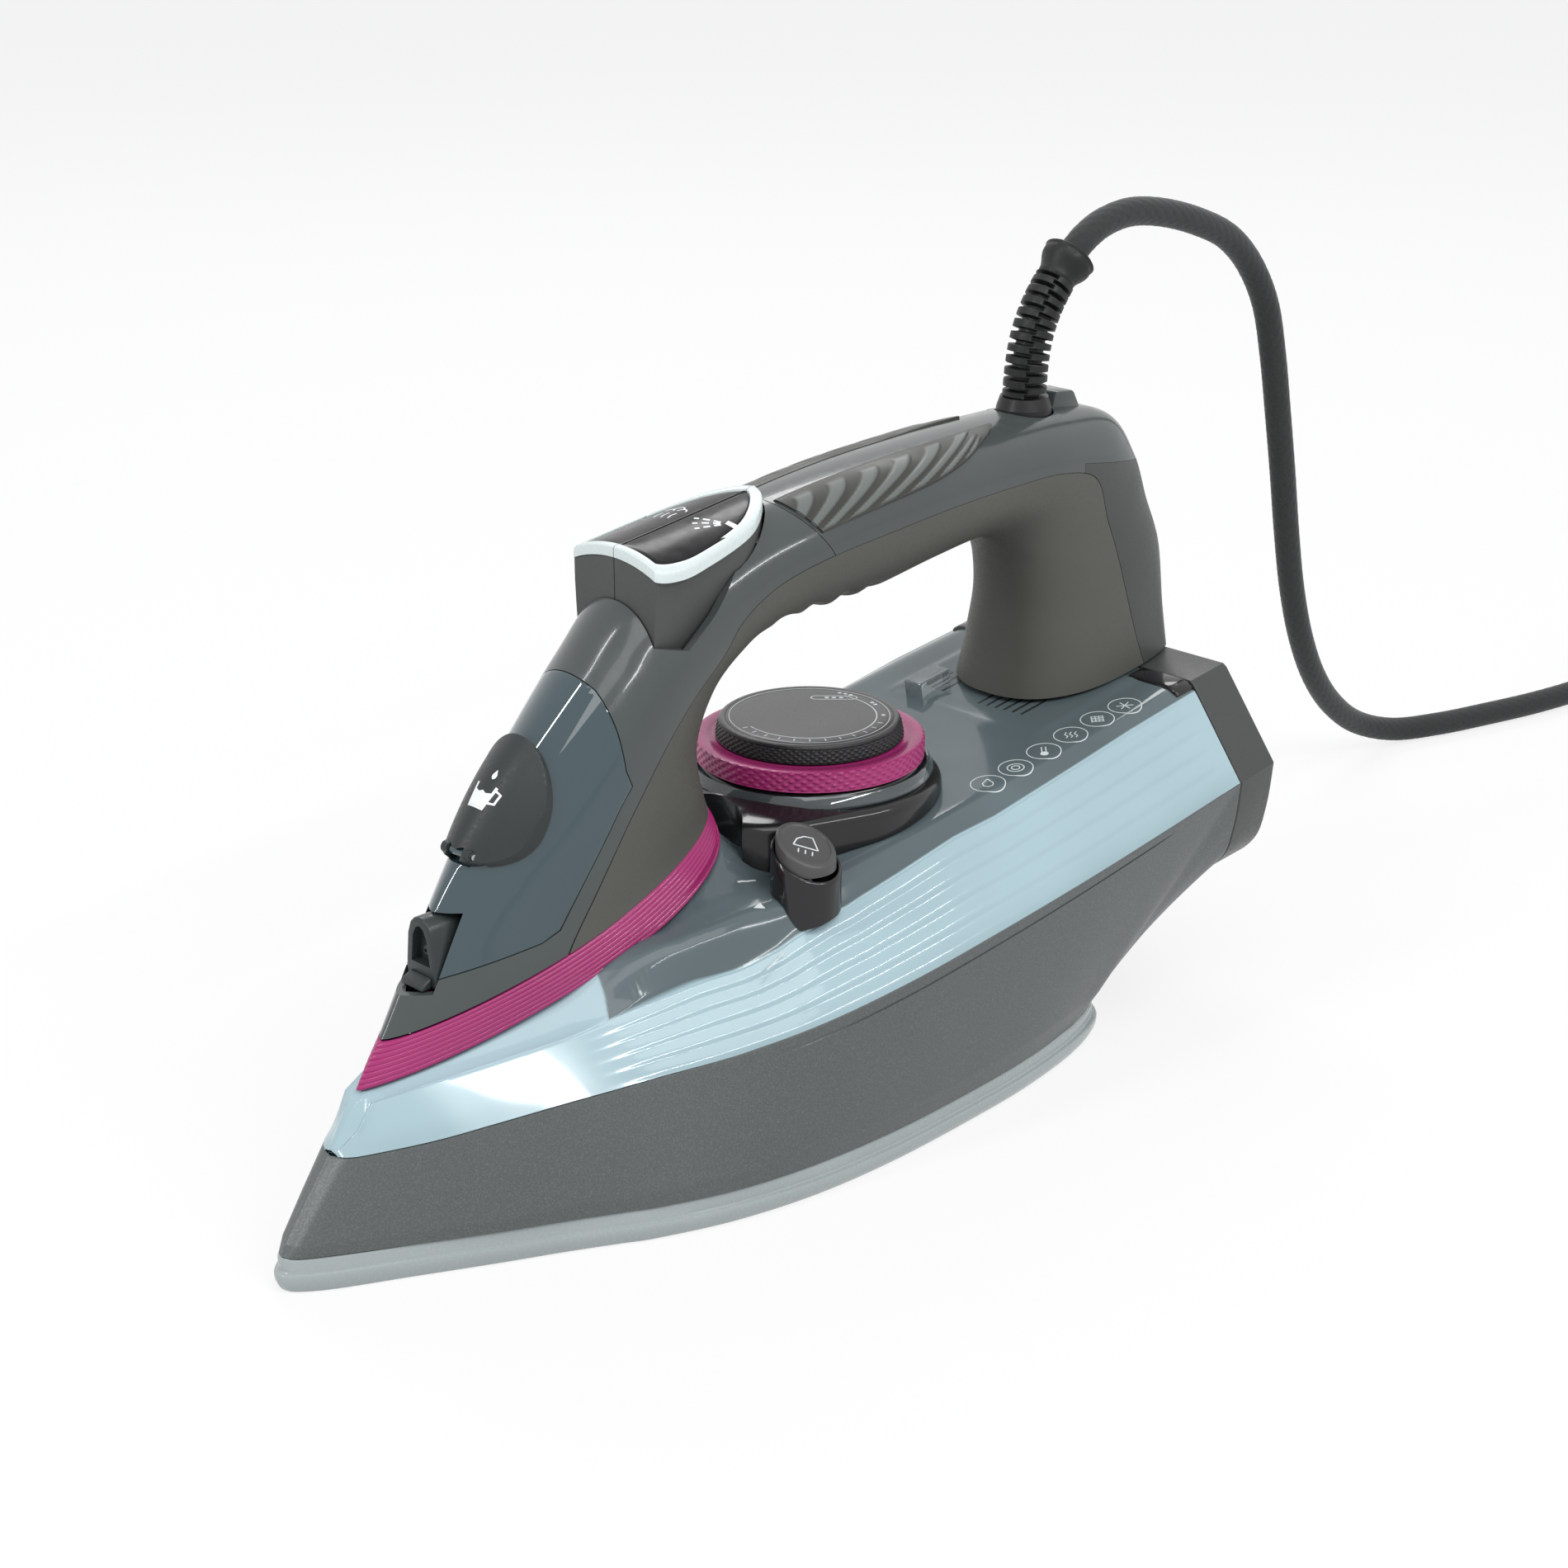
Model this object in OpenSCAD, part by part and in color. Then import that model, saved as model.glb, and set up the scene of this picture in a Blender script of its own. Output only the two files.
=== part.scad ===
// Steam iron: soleplate, skirt, water tank, looped handle, dial, buttons, filler flap and cord.
// Frame: +Z up, nose towards -X, origin on the ironing face under the handle.

/* [Soleplate] */
// Length of the soleplate from tip to heel edge
sole_l = 250; // [235:1:265]
// Width of the soleplate
sole_w = 117; // [112:0.5:121]
// Height of the soleplate rim
sole_h = 8.5; // [7:0.5:10]
// Thickness of the ironing sheet and its rim
sole_wall = 2; // [1.5:0.1:2.5]
// Diameter of a steam hole
steam_hole_d = 2.6; // [1.5:0.1:4]

/* [Body] */
// Length from the nose tip to the heel plane
body_l = 298; // [285:1:310]
// Width of the body at the line between skirt and tank
tank_w = 120; // [114:0.5:124]
// Wall of skirt, tank and rear cover
wall = 2; // [1.6:0.1:2.4]
// Height of the skirt's top edge at the nose
skirt_nose_z = 29.4; // [28:0.2:31]
// Rise of the skirt's top edge from nose to heel
skirt_rise = 36.3; // [33:0.5:39]
// Height of the tank's side above the skirt at the heel
side_h = 22.6; // [21:0.2:24]
// Length of the rear cover
rear_cover_l = 16; // [14:0.5:18]

/* [Handle] */
// Rise of the handle's top above the tank deck
handle_rise = 86; // [82:0.5:92]
// Width of the grip
grip_w = 38; // [36:0.5:40]
// Wall of the handle shells
handle_wall = 2; // [1.6:0.1:2.4]
// Seam between neighbouring shells
seam = 0.3; // [0.2:0.05:0.5]

/* [Dial] */
// Distance of the dial's axis behind the nose tip
dial_from_nose = 174; // [172:0.5:177]
// Diameter of the knob's top
knob_d = 47; // [43:0.5:49]
// Diameter of the knurled ring
ring_d = 60; // [57:0.5:62]
// Height of the knurled ring
ring_h = 5.5; // [4.5:0.1:6.5]
// Height of the knob above the ring
knob_h = 4.8; // [4:0.1:6]
// Diameter of the thermostat shaft
shaft_d = 5; // [4:0.1:6]

/* [Buttons] */
// Travel of the steam and spray buttons
button_travel = 3; // [2:0.1:3.5]
// Width of the button pod at its front
pod_w = 28.8; // [27:0.2:30]
// Thickness of the pale rim round the buttons
rim_t = 2.7; // [2.2:0.1:3.2]
// Diameter of the self-clean button
clean_d = 15; // [13.5:0.1:16]
// Travel of the self-clean button
clean_travel = 3; // [2:0.1:3.5]

/* [Filler] */
// Length of the filler flap along the nose
flap_l = 33; // [31:0.5:35]
// Width of the filler flap across the nose
flap_w = 26; // [24:0.5:27]
// Thickness of the filler flap
flap_t = 1.6; // [1.3:0.1:2]

/* [Cord] */
// Diameter of the braided cord
cord_d = 8; // [7:0.1:8.4]
// Diameter of the coil at the middle of its turns
coil_d = 90; // [84:1:100]

/* [Fits] */
// Gap between pieces that only pass each other
clear = 0.4; // [0.3:0.05:0.6]
// Radial running fit of the turning shaft
run_fit = 0.05; // [0.02:0.01:0.1]

/* [Hidden] */
$fn = 48;
e = 0.01;

// ---- general helpers ----
function unit(v) = v / max(norm(v), 1e-9);
function mirrored(half) = concat(half, [for (i = [len(half) - 2 : -1 : 1]) [half[i][0], -half[i][1]]]);
// Catmull-Rom spline through rows of numbers, t counted in rows
function row_at(tab, t) =
    let (n = len(tab) - 1, i = min(max(floor(t), 0), n - 1), s = t - i,
         a = tab[max(i - 1, 0)], b = tab[i], c = tab[i + 1], d = tab[min(i + 2, n)])
    0.5 * (2 * b + (c - a) * s + (2 * a - 5 * b + 4 * c - d) * s * s + (3 * b - a - 3 * c + d) * s * s * s);
function spline(tab, per) = [for (k = [0 : (len(tab) - 1) * per]) row_at(tab, k / per)];
function wrap(i, n, closed) = closed ? (i + n) % n : min(max(i, 0), n - 1);
// A grid of points moved inwards by d along its own normals
function inwards(g, d, closed = false) = let (m = len(g), n = len(g[0]))
    [for (i = [0 : m - 1]) [for (j = [0 : n - 1])
        let (du = g[wrap(i + 1, m, closed)][j] - g[wrap(i - 1, m, closed)][j],
             dv = g[i][min(j + 1, n - 1)] - g[i][max(j - 1, 0)])
        g[i][j] - d * unit(cross(du, dv))]];
// The same with every row's heights kept between those of its outer points
function inwards_level(g, d, closed = false) = let (q = inwards(g, d, closed))
    [for (i = [0 : len(g) - 1]) let (z = [for (p = g[i]) p[2]], lo = min(z), hi = max(z))
        [for (p = q[i]) [p[0], p[1], min(max(p[2], lo), hi)]]];
function flat(g) = [for (r = g) for (p = r) p];
// A sheet of material between an outer and an inner grid
module sheet(outer, inner, closed = false) {
    m = len(outer);
    n = len(outer[0]);
    s = m * n;
    last = closed ? m - 1 : m - 2;
    skin = [for (i = [0 : last]) for (j = [0 : n - 2])
        let (a = i * n + j, b = ((i + 1) % m) * n + j)
        each [[a, a + 1, b + 1, b], [s + a, s + b, s + b + 1, s + a + 1]]];
    sides = [for (i = [0 : last]) let (a = i * n, b = ((i + 1) % m) * n)
        each [[a, b, s + b, s + a], [a + n - 1, s + a + n - 1, s + b + n - 1, b + n - 1]]];
    ends = closed ? [] : [for (j = [0 : n - 2]) let (z = (m - 1) * n + j)
        each [[j, s + j, s + j + 1, j + 1], [z, z + 1, s + z + 1, s + z]]];
    polyhedron(concat(flat(outer), flat(inner)), concat(skin, sides, ends), convexity = 8);
}
// A solid between a stack of closed rings, capped at both ends
module stack(rings) {
    m = len(rings);
    n = len(rings[0]);
    walls = [for (i = [0 : m - 2]) for (j = [0 : n - 1])
        let (a = i * n + j, b = i * n + (j + 1) % n) [a, a + n, b + n, b]];
    caps = [[for (j = [0 : n - 1]) j], [for (j = [n - 1 : -1 : 0]) (m - 1) * n + j]];
    polyhedron(flat(rings), concat(walls, caps), convexity = 8);
}
// A round tube swept along a route
module sweep(route, r, sides = 8) {
    rings = [for (i = [0 : len(route) - 1])
        let (d = unit(route[min(i + 1, len(route) - 1)] - route[max(i - 1, 0)]),
             u = unit(cross(d, abs(d[1]) > 0.8 ? [1, 0, 0] : [0, 1, 0])), v = cross(d, u))
        [for (k = [0 : sides - 1]) route[i] + r * (cos(360 * k / sides) * u + sin(360 * k / sides) * v)]];
    stack(rings);
}
// An extrusion across the iron of an outline drawn in side view
module across(outline, w) rotate([90, 0, 0]) linear_extrude(2 * w, center = true) polygon(outline);
module at(p) translate(p) children();

// ---- plan and side lines of the body ----
nose_x = -123.5;
heel_x = nose_x + body_l;
cover_x = heel_x - rear_cover_l;
tank_nose_x = nose_x + 16.3;
tank_l = cover_x - tank_nose_x;
skirt_in = 1;
skirt_z = sole_h + 0.2;

// Half outlines as fractions of length and half width, nose to heel
SOLE_LINE = [[0, 0], [0.006, 0.055], [0.035, 0.145], [0.097, 0.283], [0.172, 0.452], [0.232, 0.58],
    [0.28, 0.69], [0.314, 0.768], [0.392, 0.893], [0.487, 0.975], [0.6, 1], [0.734, 0.975],
    [0.81, 0.945], [0.89, 0.885], [0.945, 0.81], [0.977, 0.72], [0.995, 0.56], [1, 0.3], [1, 0]];
SKIRT_LINE = [[0, 0], [0.008, 0.06], [0.034, 0.13], [0.1, 0.283], [0.18, 0.46], [0.245, 0.59],
    [0.297, 0.7], [0.335, 0.78], [0.415, 0.9], [0.515, 0.975], [0.635, 1], [0.775, 0.975],
    [0.86, 0.94], [0.93, 0.885], [0.965, 0.84], [0.99, 0.7], [1, 0.35], [1, 0]];
TANK_LINE = [[0, 0], [0.007, 0.075], [0.024, 0.137], [0.072, 0.267], [0.12, 0.365], [0.179, 0.48],
    [0.22, 0.565], [0.26, 0.643], [0.33, 0.785], [0.41, 0.893], [0.507, 0.957], [0.614, 0.985],
    [0.75, 1], [0.88, 0.997], [1, 0.987]];
skirt_l = sole_l - 15.2;
function sole_pt(p, inset) = [nose_x + inset + p[0] * (sole_l - 2 * inset), p[1] * (sole_w / 2 - inset)];
function parting_z(x) = skirt_nose_z + skirt_rise * (x - tank_nose_x) / tank_l;
deck_slope = skirt_rise / tank_l;
// The deck runs up to the heel parallel to the skirt's top edge
function deck_z(x) = parting_z(x) + side_h + deck_up;
deck_up = 2;
// Share of the side's height and of the half width that the crease has along the tank
CREASE = [[0, 0.46, 0.02], [0.2, 0.53, 0.375], [0.28, 0.61, 0.49], [0.36, 0.72, 0.61], [0.43, 0.83, 0.67],
    [0.5, 0.92, 0.69], [0.6, 0.97, 0.707], [0.75, 1, 0.715], [0.9, 1, 0.715], [1, 1, 0.705]];
function crease_h(u) = side_h * lookup(u, [for (r = CREASE) [r[0], r[1]]]);
function crease_y(u) = tank_w / 2 * lookup(u, [for (r = CREASE) [r[0], r[2]]]);
function tank_y(u) = tank_w / 2 * lookup(u, TANK_HALF);
TANK_HALF = spline(TANK_LINE, 3);

// ---- handle stations ----
// Outer and inner edge in side view as distance behind the nose tip and height above the deck at the
// crease, then half width, its place between the edges, half width of the back, roundness of the
// outer part, bow of the section and the place of the seam between the upper and lower shell
STATIONS = [
    [25, -10.4, 134, 13.6, 21, 0.71, 0, 1.32, 4.6, 0.43],
    [32.8, -0.7, 132.7, 19, 18.7, 0.55, 0, 1.47, 1.1, 0.43],
    [41.2, 12.3, 130, 28, 18.2, 0.54, 0, 1.5, 1, 0.49],
    [49.5, 24.2, 128.8, 35.3, 18, 0.53, 0, 1.55, 0.6, 0.55],
    [57.1, 33.9, 129.5, 41.2, 17.8, 0.51, 0, 1.6, 0.4, 0.6],
    [68.2, 45.5, 132.5, 47.8, 17.7, 0.49, 0, 1.7, 0, 0.638],
    [79.6, 56.1, 137.5, 53.6, 17.7, 0.47, 0, 1.8, 0, 0.66],
    [93.8, 68.2, 145.5, 57.5, 18, 0.45, 0, 1.9, 0, 0.64],
    [108.3, 79.6, 154.5, 58.3, 18, 0.43, 0, 2, 0, 0.54],
    [128.5, 85.4, 164.5, 56.9, 18, 0.4, 0, 2, 0, 0.445],
    [150.5, 88.6, 175.5, 55.2, 18.5, 0.38, 0, 2, 0, 0.43],
    [178.5, 88.4, 189.5, 54.3, 19, 0.37, 0, 2, 0, 0.435],
    [208.5, 86, 207.5, 54.5, 19, 0.37, 0, 2, 0, 0.44],
    [238.5, 82.5, 224.5, 54.2, 19, 0.37, 0, 2, 0, 0.45],
    [263.5, 78.6, 232.5, 52.6, 19, 0.4, 0, 2, 0, 0.44],
    [282.5, 72, 237.5, 50.4, 18.5, 0.42, 4, 2, -2, 0.42],
    [289, 60.3, 241.5, 47.3, 18.5, 0.42, 9.5, 2, -6, 0.45],
    [293.2, 46.7, 245.5, 40.3, 19.5, 0.45, 11.5, 2, -4.5, 0.45],
    [297.4, 32.7, 247.5, 28, 21, 0.45, 13.5, 2, -2, 0.45],
    [298, 15.1, 246, 15.2, 22.5, 0.45, 15.8, 2, 0, 0.37],
    [298, 2.6, 243, 4, 23.5, 0.45, 18.5, 2, 0, 0.27]];
band_row = 0;
shell_row = 1;
collar_row = 10.15;
foot_row = len(STATIONS) - 1;
drawn_l = 298;
drawn_rise = 86;
drawn_grip = 38;
inner_round = 2.4;
kx = body_l / drawn_l;
kz = handle_rise / drawn_rise;
ky = grip_w / drawn_grip;
function crease_z(x) = parting_z(x) + side_h;
function stn_xz(xn, h) = let (x = nose_x + kx * xn) [x, crease_z(x) + h * (h > 0 ? kz : 1)];
// Half width of a section at a share f of the way from its outer to its inner edge
function half_w(r, f) = let (fm = r[5], w = r[4] * ky, w0 = r[6] * ky)
    f < fm ? w0 + (w - w0) * pow(max(1 - pow(1 - f / fm, r[7]), 0), 1 / r[7])
           : w * pow(max(1 - pow((f - fm) / (1 - fm), inner_round), 0), 1 / inner_round);
function section_pt(r, f, side) = let (o = stn_xz(r[0], r[1]), i = stn_xz(r[2], r[3]), d = i - o,
        q = o + f * d + 4 * f * (1 - f) * r[8] * unit([d[1], -d[0]]))
    [q[0], side * half_w(r, f), q[1]];
// Shares along a half section, denser near the rounded edges
function outer_shares(fs, n) = [for (k = [0 : n]) fs * pow(k / n, 1.9)];
function inner_shares(fs, n) = [for (k = [0 : n]) 1 - (1 - fs) * pow(k / n, 1.9)];
// Grid of the upper shell: near seam, over the outer edge, far seam
function upper_grid(r0, r1, m, n, gap = 0) = [for (k = [0 : m]) let (r = row_at(STATIONS, r0 + (r1 - r0) * k / m),
        f = outer_shares(r[9] - gap, n))
    concat([for (j = [n : -1 : 1]) section_pt(r, f[j], -1)], [for (j = [0 : n]) section_pt(r, f[j], 1)])];
// Grid of the lower shell: far seam, under the inner edge, near seam
function lower_grid(r0, r1, m, n, gap = 0) = [for (k = [0 : m]) let (r = row_at(STATIONS, r0 + (r1 - r0) * k / m),
        f = inner_shares(r[9] + gap, n))
    concat([for (j = [n : -1 : 1]) section_pt(r, f[j], 1)], [for (j = [0 : n]) section_pt(r, f[j], -1)])];
// A whole ring round a section
function ring_at(t, n) = let (r = row_at(STATIONS, t),
        f = concat([for (k = [0 : n]) r[5] * pow(k / n, 1.7)],
            [for (k = [1 : n]) r[5] + (1 - r[5]) * (1 - pow(1 - k / n, 1.7))]))
    concat([for (k = [0 : 2 * n]) section_pt(r, f[k], 1)], [for (k = [2 * n - 1 : -1 : 1]) section_pt(r, f[k], -1)]);
function reversed(v) = [for (i = [len(v) - 1 : -1 : 0]) v[i]];

// ---- places shared by several pieces ----
dial_x = nose_x + dial_from_nose;
ring_z = 87.4;
knob_z = ring_z + ring_h;
base_top = ring_z - clear;
clean_at = [14, -35];
clean_tilt = 26;
clean_top = 82.5;
pod_x = -15.6;
pod_z = 151;
pod_tilt = 7.4;
pod_foot = 129;
pod_arch = 36;
pump_at = [-10, 5.7];
flap_pivot = [-67, 91.5];
flap_slope = 46.6;
hub_x = 132;
deck_tilt = atan(deck_slope);
socket_d = 19;
floor_drop = 1.5;
floor_z = 14;

// ---- soleplate group ----
module sole_ring_solid(inset, z0, z1) at([0, 0, z0])
    linear_extrude(z1 - z0) polygon(mirrored([for (p = spline(SOLE_LINE, 2)) sole_pt(p, inset)]));
module steam_holes() {
    for (s = [-1, 1]) {
        for (k = [0 : 7]) at([nose_x + 20 + 13 * k, s * (4 + 4.6 * k), -1])
            cylinder(h = 6, d = steam_hole_d, $fn = 16);
        for (k = [0 : 4]) at([nose_x + 38 + 13 * k, s * (2.5 + 4 * k), -1])
            cylinder(h = 6, d = steam_hole_d, $fn = 16);
    }
    at([nose_x + 14, 0, -1]) cylinder(h = 6, d = steam_hole_d, $fn = 16);
}
module soleplate() color("gainsboro") difference() {
    union() {
        sole_ring_solid(1.3, 0, 0.6);
        sole_ring_solid(0.4, 0.6 - e, 1.6);
        sole_ring_solid(0, 1.6 - e, sole_h);
    }
    sole_ring_solid(sole_wall, sole_wall, sole_h + 1);
    steam_holes();
}
casting_in = sole_wall + 0.6;
casting_top = 12;
element_r = 3.5;
element_x = -40;
element_bend = 26;
element_end = 88;
module element_shape(r) {
    at([element_x, 0, 7]) rotate([0, 0, 90]) rotate_extrude(angle = 180) at([element_bend, 0]) circle(r);
    for (s = [-1, 1]) {
        at([element_x, s * element_bend, 7]) rotate([0, 90, 0]) cylinder(h = element_end - element_x, r = r);
        at([element_end, s * element_bend, 7]) sphere(r);
        at([element_end, s * element_bend, 7]) cylinder(h = 17, r = r * 0.55);
    }
}
module heater_casting() color("silver") difference() {
    union() {
        sole_ring_solid(casting_in, sole_wall, sole_h - 0.5);
        intersection() {
            sole_ring_solid(casting_in + 8, sole_h - 0.5 - e, casting_top);
            at([-130, -70, 0]) cube([236, 140, 40]);
        }
    }
    element_shape(element_r + 0.1);
    at([element_x, -15, 5]) cube([110, 30, 20]);
    for (p = casting_screw_at) at([p[0], p[1], 6]) cylinder(h = 10, d = 3.1);
}
casting_screw_at = [[-78, 0], [-52, -14], [-52, 14], [92, 0]];
module heating_element() color("dimgray") element_shape(element_r);
module steam_chamber_cover() color("lightsteelblue") difference() {
    at([0, 0, casting_top]) intersection() {
        linear_extrude(floor_z - casting_top) polygon(mirrored([for (p = spline(SOLE_LINE, 2)) sole_pt(p, 16)]));
        at([-90, -19, -1]) cube([190, 38, 6]);
    }
    for (p = casting_screw_at) at([p[0], p[1], 8]) cylinder(h = 10, d = 3.4);
    at([valve_x, 0, 8]) cylinder(h = 10, d = 7);
}
valve_x = -40;
module casting_screws() color("silver") for (p = casting_screw_at) {
    at([p[0], p[1], floor_z]) cylinder(h = 2, d = 6);
    at([p[0], p[1], 6.5]) cylinder(h = floor_z - 6.5 + e, d = 3);
}
thermostat_top = 26;
module thermostat() color("peru") difference() {
    union() {
        at([dial_x, 0, floor_z]) cylinder(h = 7, d = 26);
        at([dial_x, 0, floor_z + 7 - e]) cylinder(h = thermostat_top - floor_z - 7, d = 10);
        at([dial_x + 6, -4, floor_z + 7 - e]) cube([16, 8, 2]);
    }
    at([dial_x, 0, thermostat_top - 5]) cylinder(h = 6, d = shaft_d + 2 * run_fit);
}
module thermal_fuse() color("wheat") {
    at([8, 0, floor_z + 3]) rotate([0, 90, 0]) cylinder(h = 16, d = 5);
    for (x = [8, 24]) at([x, 0, floor_z + 3]) rotate([0, x > 20 ? 90 : -90, 0]) cylinder(h = 6, d = 1.4);
}
module heat_shield() color("lightgray") difference() {
    at([0, 0, 24]) linear_extrude(1) polygon(mirrored([for (p = spline(SOLE_LINE, 2)) sole_pt(p, 20)]));
    at([dial_x, 0, 20]) cylinder(h = 20, d = shaft_d + 6);
    at([valve_x, 0, 20]) cylinder(h = 20, d = 10);
    for (s = [-1, 1]) at([element_end, s * element_bend, 20]) cylinder(h = 20, d = 7);
}

// ---- skirt ----
// Rear end of the skirt's top ring: the rear cover's outline from the parting line to underneath
COVER_LOW = [[1, 1], [0.975, 0.81], [0.915, 0.645], [0.75, 0.545], [0.35, 0.52], [0, 0.515]];
function cover_low_pt(p, x) = [x, p[0] * tank_w * 0.4935, parting_z(cover_x) * (p[1])];
skirt_side_n = 36;
skirt_rear_n = 12;
function skirt_low(k) = let (n = skirt_side_n,
        t = k <= n ? 14 * pow(k / n, 1.25) : 14 + 3 * (k - n) / skirt_rear_n,
        p = row_at(SKIRT_LINE, t))
    [nose_x + skirt_in + 0.6 + p[0] * skirt_l, p[1] * (sole_w / 2 - skirt_in), skirt_z];
function skirt_high(k) = k <= skirt_side_n
    ? let (p = row_at(TANK_LINE, 14 * pow(k / skirt_side_n, 1.25)), x = tank_nose_x + p[0] * tank_l)
        [x, p[1] * tank_w / 2, parting_z(x)]
    : let (q = row_at(COVER_LOW, 5 * (k - skirt_side_n) / skirt_rear_n)) cover_low_pt(q, cover_x);
// The wall's line from the low to the high edge, with a crease a little above the low edge
function skirt_col(k) = let (a = skirt_low(k), b = skirt_high(k),
        out = unit([0.3 * (a[0] > 60 ? 1 : -1), a[1] > 1 ? 1 : 0, 0]))
    [a, a + 0.13 * (b - a) + 0.7 * out, a + 0.55 * (b - a) + 0.5 * out, b];
function skirt_grid() = let (n = skirt_side_n + skirt_rear_n,
        half = [for (k = [0 : n]) skirt_col(k)])
    concat([for (k = [n : -1 : 0]) half[k]],
           [for (k = [1 : n - 1]) [for (p = half[k]) [p[0], -p[1], p[2]]]]);
module skirt() color([0.4, 0.4, 0.39]) {
    g = skirt_grid();
    sheet(g, inwards_level(g, wall, true), true);
}

// ---- tank ----
band_half = [for (f = [0 : 0.02 : 1]) let (p = section_pt(STATIONS[band_row], f, 1)) p];
band_half_y = [for (p = band_half) [p[0], p[1]]];
band_half_z = [for (p = band_half) [p[0], p[2]]];
band_back = band_half[len(band_half) - 1][0];
band_front = band_half[0][0];
function tank_u(x) = (x - tank_nose_x) / tank_l;
tank_stations = concat([0.004, 0.012, 0.03, 0.055, 0.09, 0.13, 0.18, 0.23, 0.28, 0.33, 0.38, 0.41],
    [for (d = [-3.5, -1.2, 0.4, 3, 8, 14]) tank_u(band_back + d)], [0.53, 0.58, 0.65, 0.75, 0.88, 0.998]);
// Height of the tank's middle: up the nose, then under the band, then the deck
function mid_z(x) = let (foot = lookup(x, band_half_z) - 0.8)
    x < band_front ? parting_z(x) + (foot_front - skirt_nose_z) * (x - tank_nose_x) / (band_front - tank_nose_x)
    : x < band_back ? foot : deck_z(x);
foot_front = band_half[0][2] - 0.8;
function mid_y(x) = x < band_front || x > band_back ? 0 : lookup(x, band_half_y);
function tank_half(u) = let (x = tank_nose_x + u * tank_l, wp = tank_y(u), zp = parting_z(x),
        front = x < band_front, hc = front ? (mid_z(x) - zp) * 0.55 : min(crease_h(u), mid_z(x) - zp - 0.2),
        wc = min(crease_y(u), wp * 0.8), my = mid_y(x), mz = mid_z(x),
        inner = x > band_back ? wc - 5 : max(my, wc * 0.3), iz = x > band_back ? deck_z(x) : mz)
    [[x, wp, zp + 0.2], [x, wp + (wc - wp) * 0.5, zp + hc * 0.5], [x, wc, zp + hc],
     [x, (wc + inner) / 2, x > band_back || front ? (zp + hc + iz) / 2 : zp + hc + 0.35 * (iz - zp - hc)],
     [x, inner, iz], [x, inner * 0.5, iz]];
function tank_line(u) = let (h = tank_half(u), n = len(h), x = h[0][0])
    concat([for (p = h) [p[0], -p[1], p[2]]], [[x, 0, h[n - 1][2] + 0.05]], reversed(h));
tank_grid = [for (u = tank_stations) tank_line(u)];
module tank_shell() color([0.45, 0.5, 0.52]) difference() {
    sheet(tank_grid, inwards_level(tank_grid, wall));
    at([dial_x, 0, 40]) cylinder(h = 60, d = shaft_d + 7 + 2 * run_fit);
    at([clean_at[0], clean_at[1], 40]) cylinder(h = 60, d = 4.8);
    for (s = [-1, 1]) at([pump_at[0], s * pump_at[1], 40]) cylinder(h = 60, d = 4.8);
    duct_core(8.3);
}
// Pale inner tank: the shell's sides moved in, joined by a floor
liner_gap = 0.3;
module tank_floor() color("lightblue") difference() {
    side = inwards(tank_grid, wall + liner_gap);
    n = len(side[0]);
    g = [for (r = side) let (p = r[0] + 0.14 * (r[1] - r[0]), c = r[2], x = p[0])
        concat([[c[0], c[1] * 0.995, c[2]], [x, (p[1] + c[1]) / 2, (p[2] + c[2]) / 2], p],
               [for (s = [-0.6, 0, 0.6]) [x, -s * p[1], parting_z(x) - floor_drop]],
               [[x, -p[1], p[2]], [x, -(p[1] + c[1]) / 2, (p[2] + c[2]) / 2], [c[0], -c[1] * 0.995, c[2]]])];
    rows = [for (i = [2 : len(g) - 1]) reversed(g[i])];
    sheet(rows, inwards(rows, 1.6));
    at([dial_x, 0, 20]) cylinder(h = 60, d = shaft_d + 7 + 2 * run_fit);
    at([clean_at[0], clean_at[1], 20]) cylinder(h = 40, d = 9);
    at([valve_x, 0, 20]) cylinder(h = 30, d = 9.2);
}
module steam_valve() color("white") difference() {
    union() {
        at([valve_x, 0, floor_z - 1.5]) cylinder(h = 28, d = 6.6);
        at([valve_x, 0, 30]) cylinder(h = 4, d = 8.8);
    }
    at([valve_x, 0, floor_z - 3]) cylinder(h = 40, d = 2.4);
}
// Magenta band: a ring between the foot line and the shell's lower edge
band_n = 14;
band_grid = let (a = reversed(ring_at(band_row, band_n)), b = reversed(ring_at(shell_row - 0.04, band_n)), m = len(a))
    [for (i = [0 : m - 1]) [a[i], a[i] + 0.5 * (b[i] - a[i]) + 0.4 * unit(a[i] - [-40, 0, a[i][2]]), b[i]]];
module band_seal() color([0.65, 0.2, 0.43]) sheet(band_grid, inwards(band_grid, wall * 0.9, true), true);
module rear_seal() color("black") for (s = [-1, 1], k = [0, 1]) hull()
    for (q = [[[26, 0.35], [36.8, 0.35]], [[36.8 - e, 0.35], [41, -0.75]]][k], x = [cover_x - 2.6, cover_x - 0.4])
        at([x, s * q[0], deck_z(x) + q[1]]) cube([0.2, 0.2, 0.7]);

// ---- handle shells ----
window_outline = [[-100, 63.6], [-86, 64.4], [-75, 66.9], [-65, 68.9], [-54, 71], [-49, 73.2], [-41.7, 83.7],
    [-30.6, 99.2], [-26.6, 103.8], [-28.2, 108], [-28.9, 117], [-30, 126.5], [-32, 131], [-45, 140], [-100, 120]];
function window_at(p) = stn_side(p);
function stn_side(p) = let (xn = p[0] - nose_draw, x = nose_x + kx * xn)
    [x, crease_z(x) + kz * (p[1] - drawn_crease(p[0]))];
nose_draw = -123.5;
function drawn_crease(x) = 66.7 + 0.1366 * x;
pod_cut = [[pod_x - clear, 172], [pod_x - clear, 134.6], [-7.8, 133], [0.6, 139.6], [8, 146.4],
    [15.2, 152.6], [21, 157.4], [28, 172]];
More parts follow.
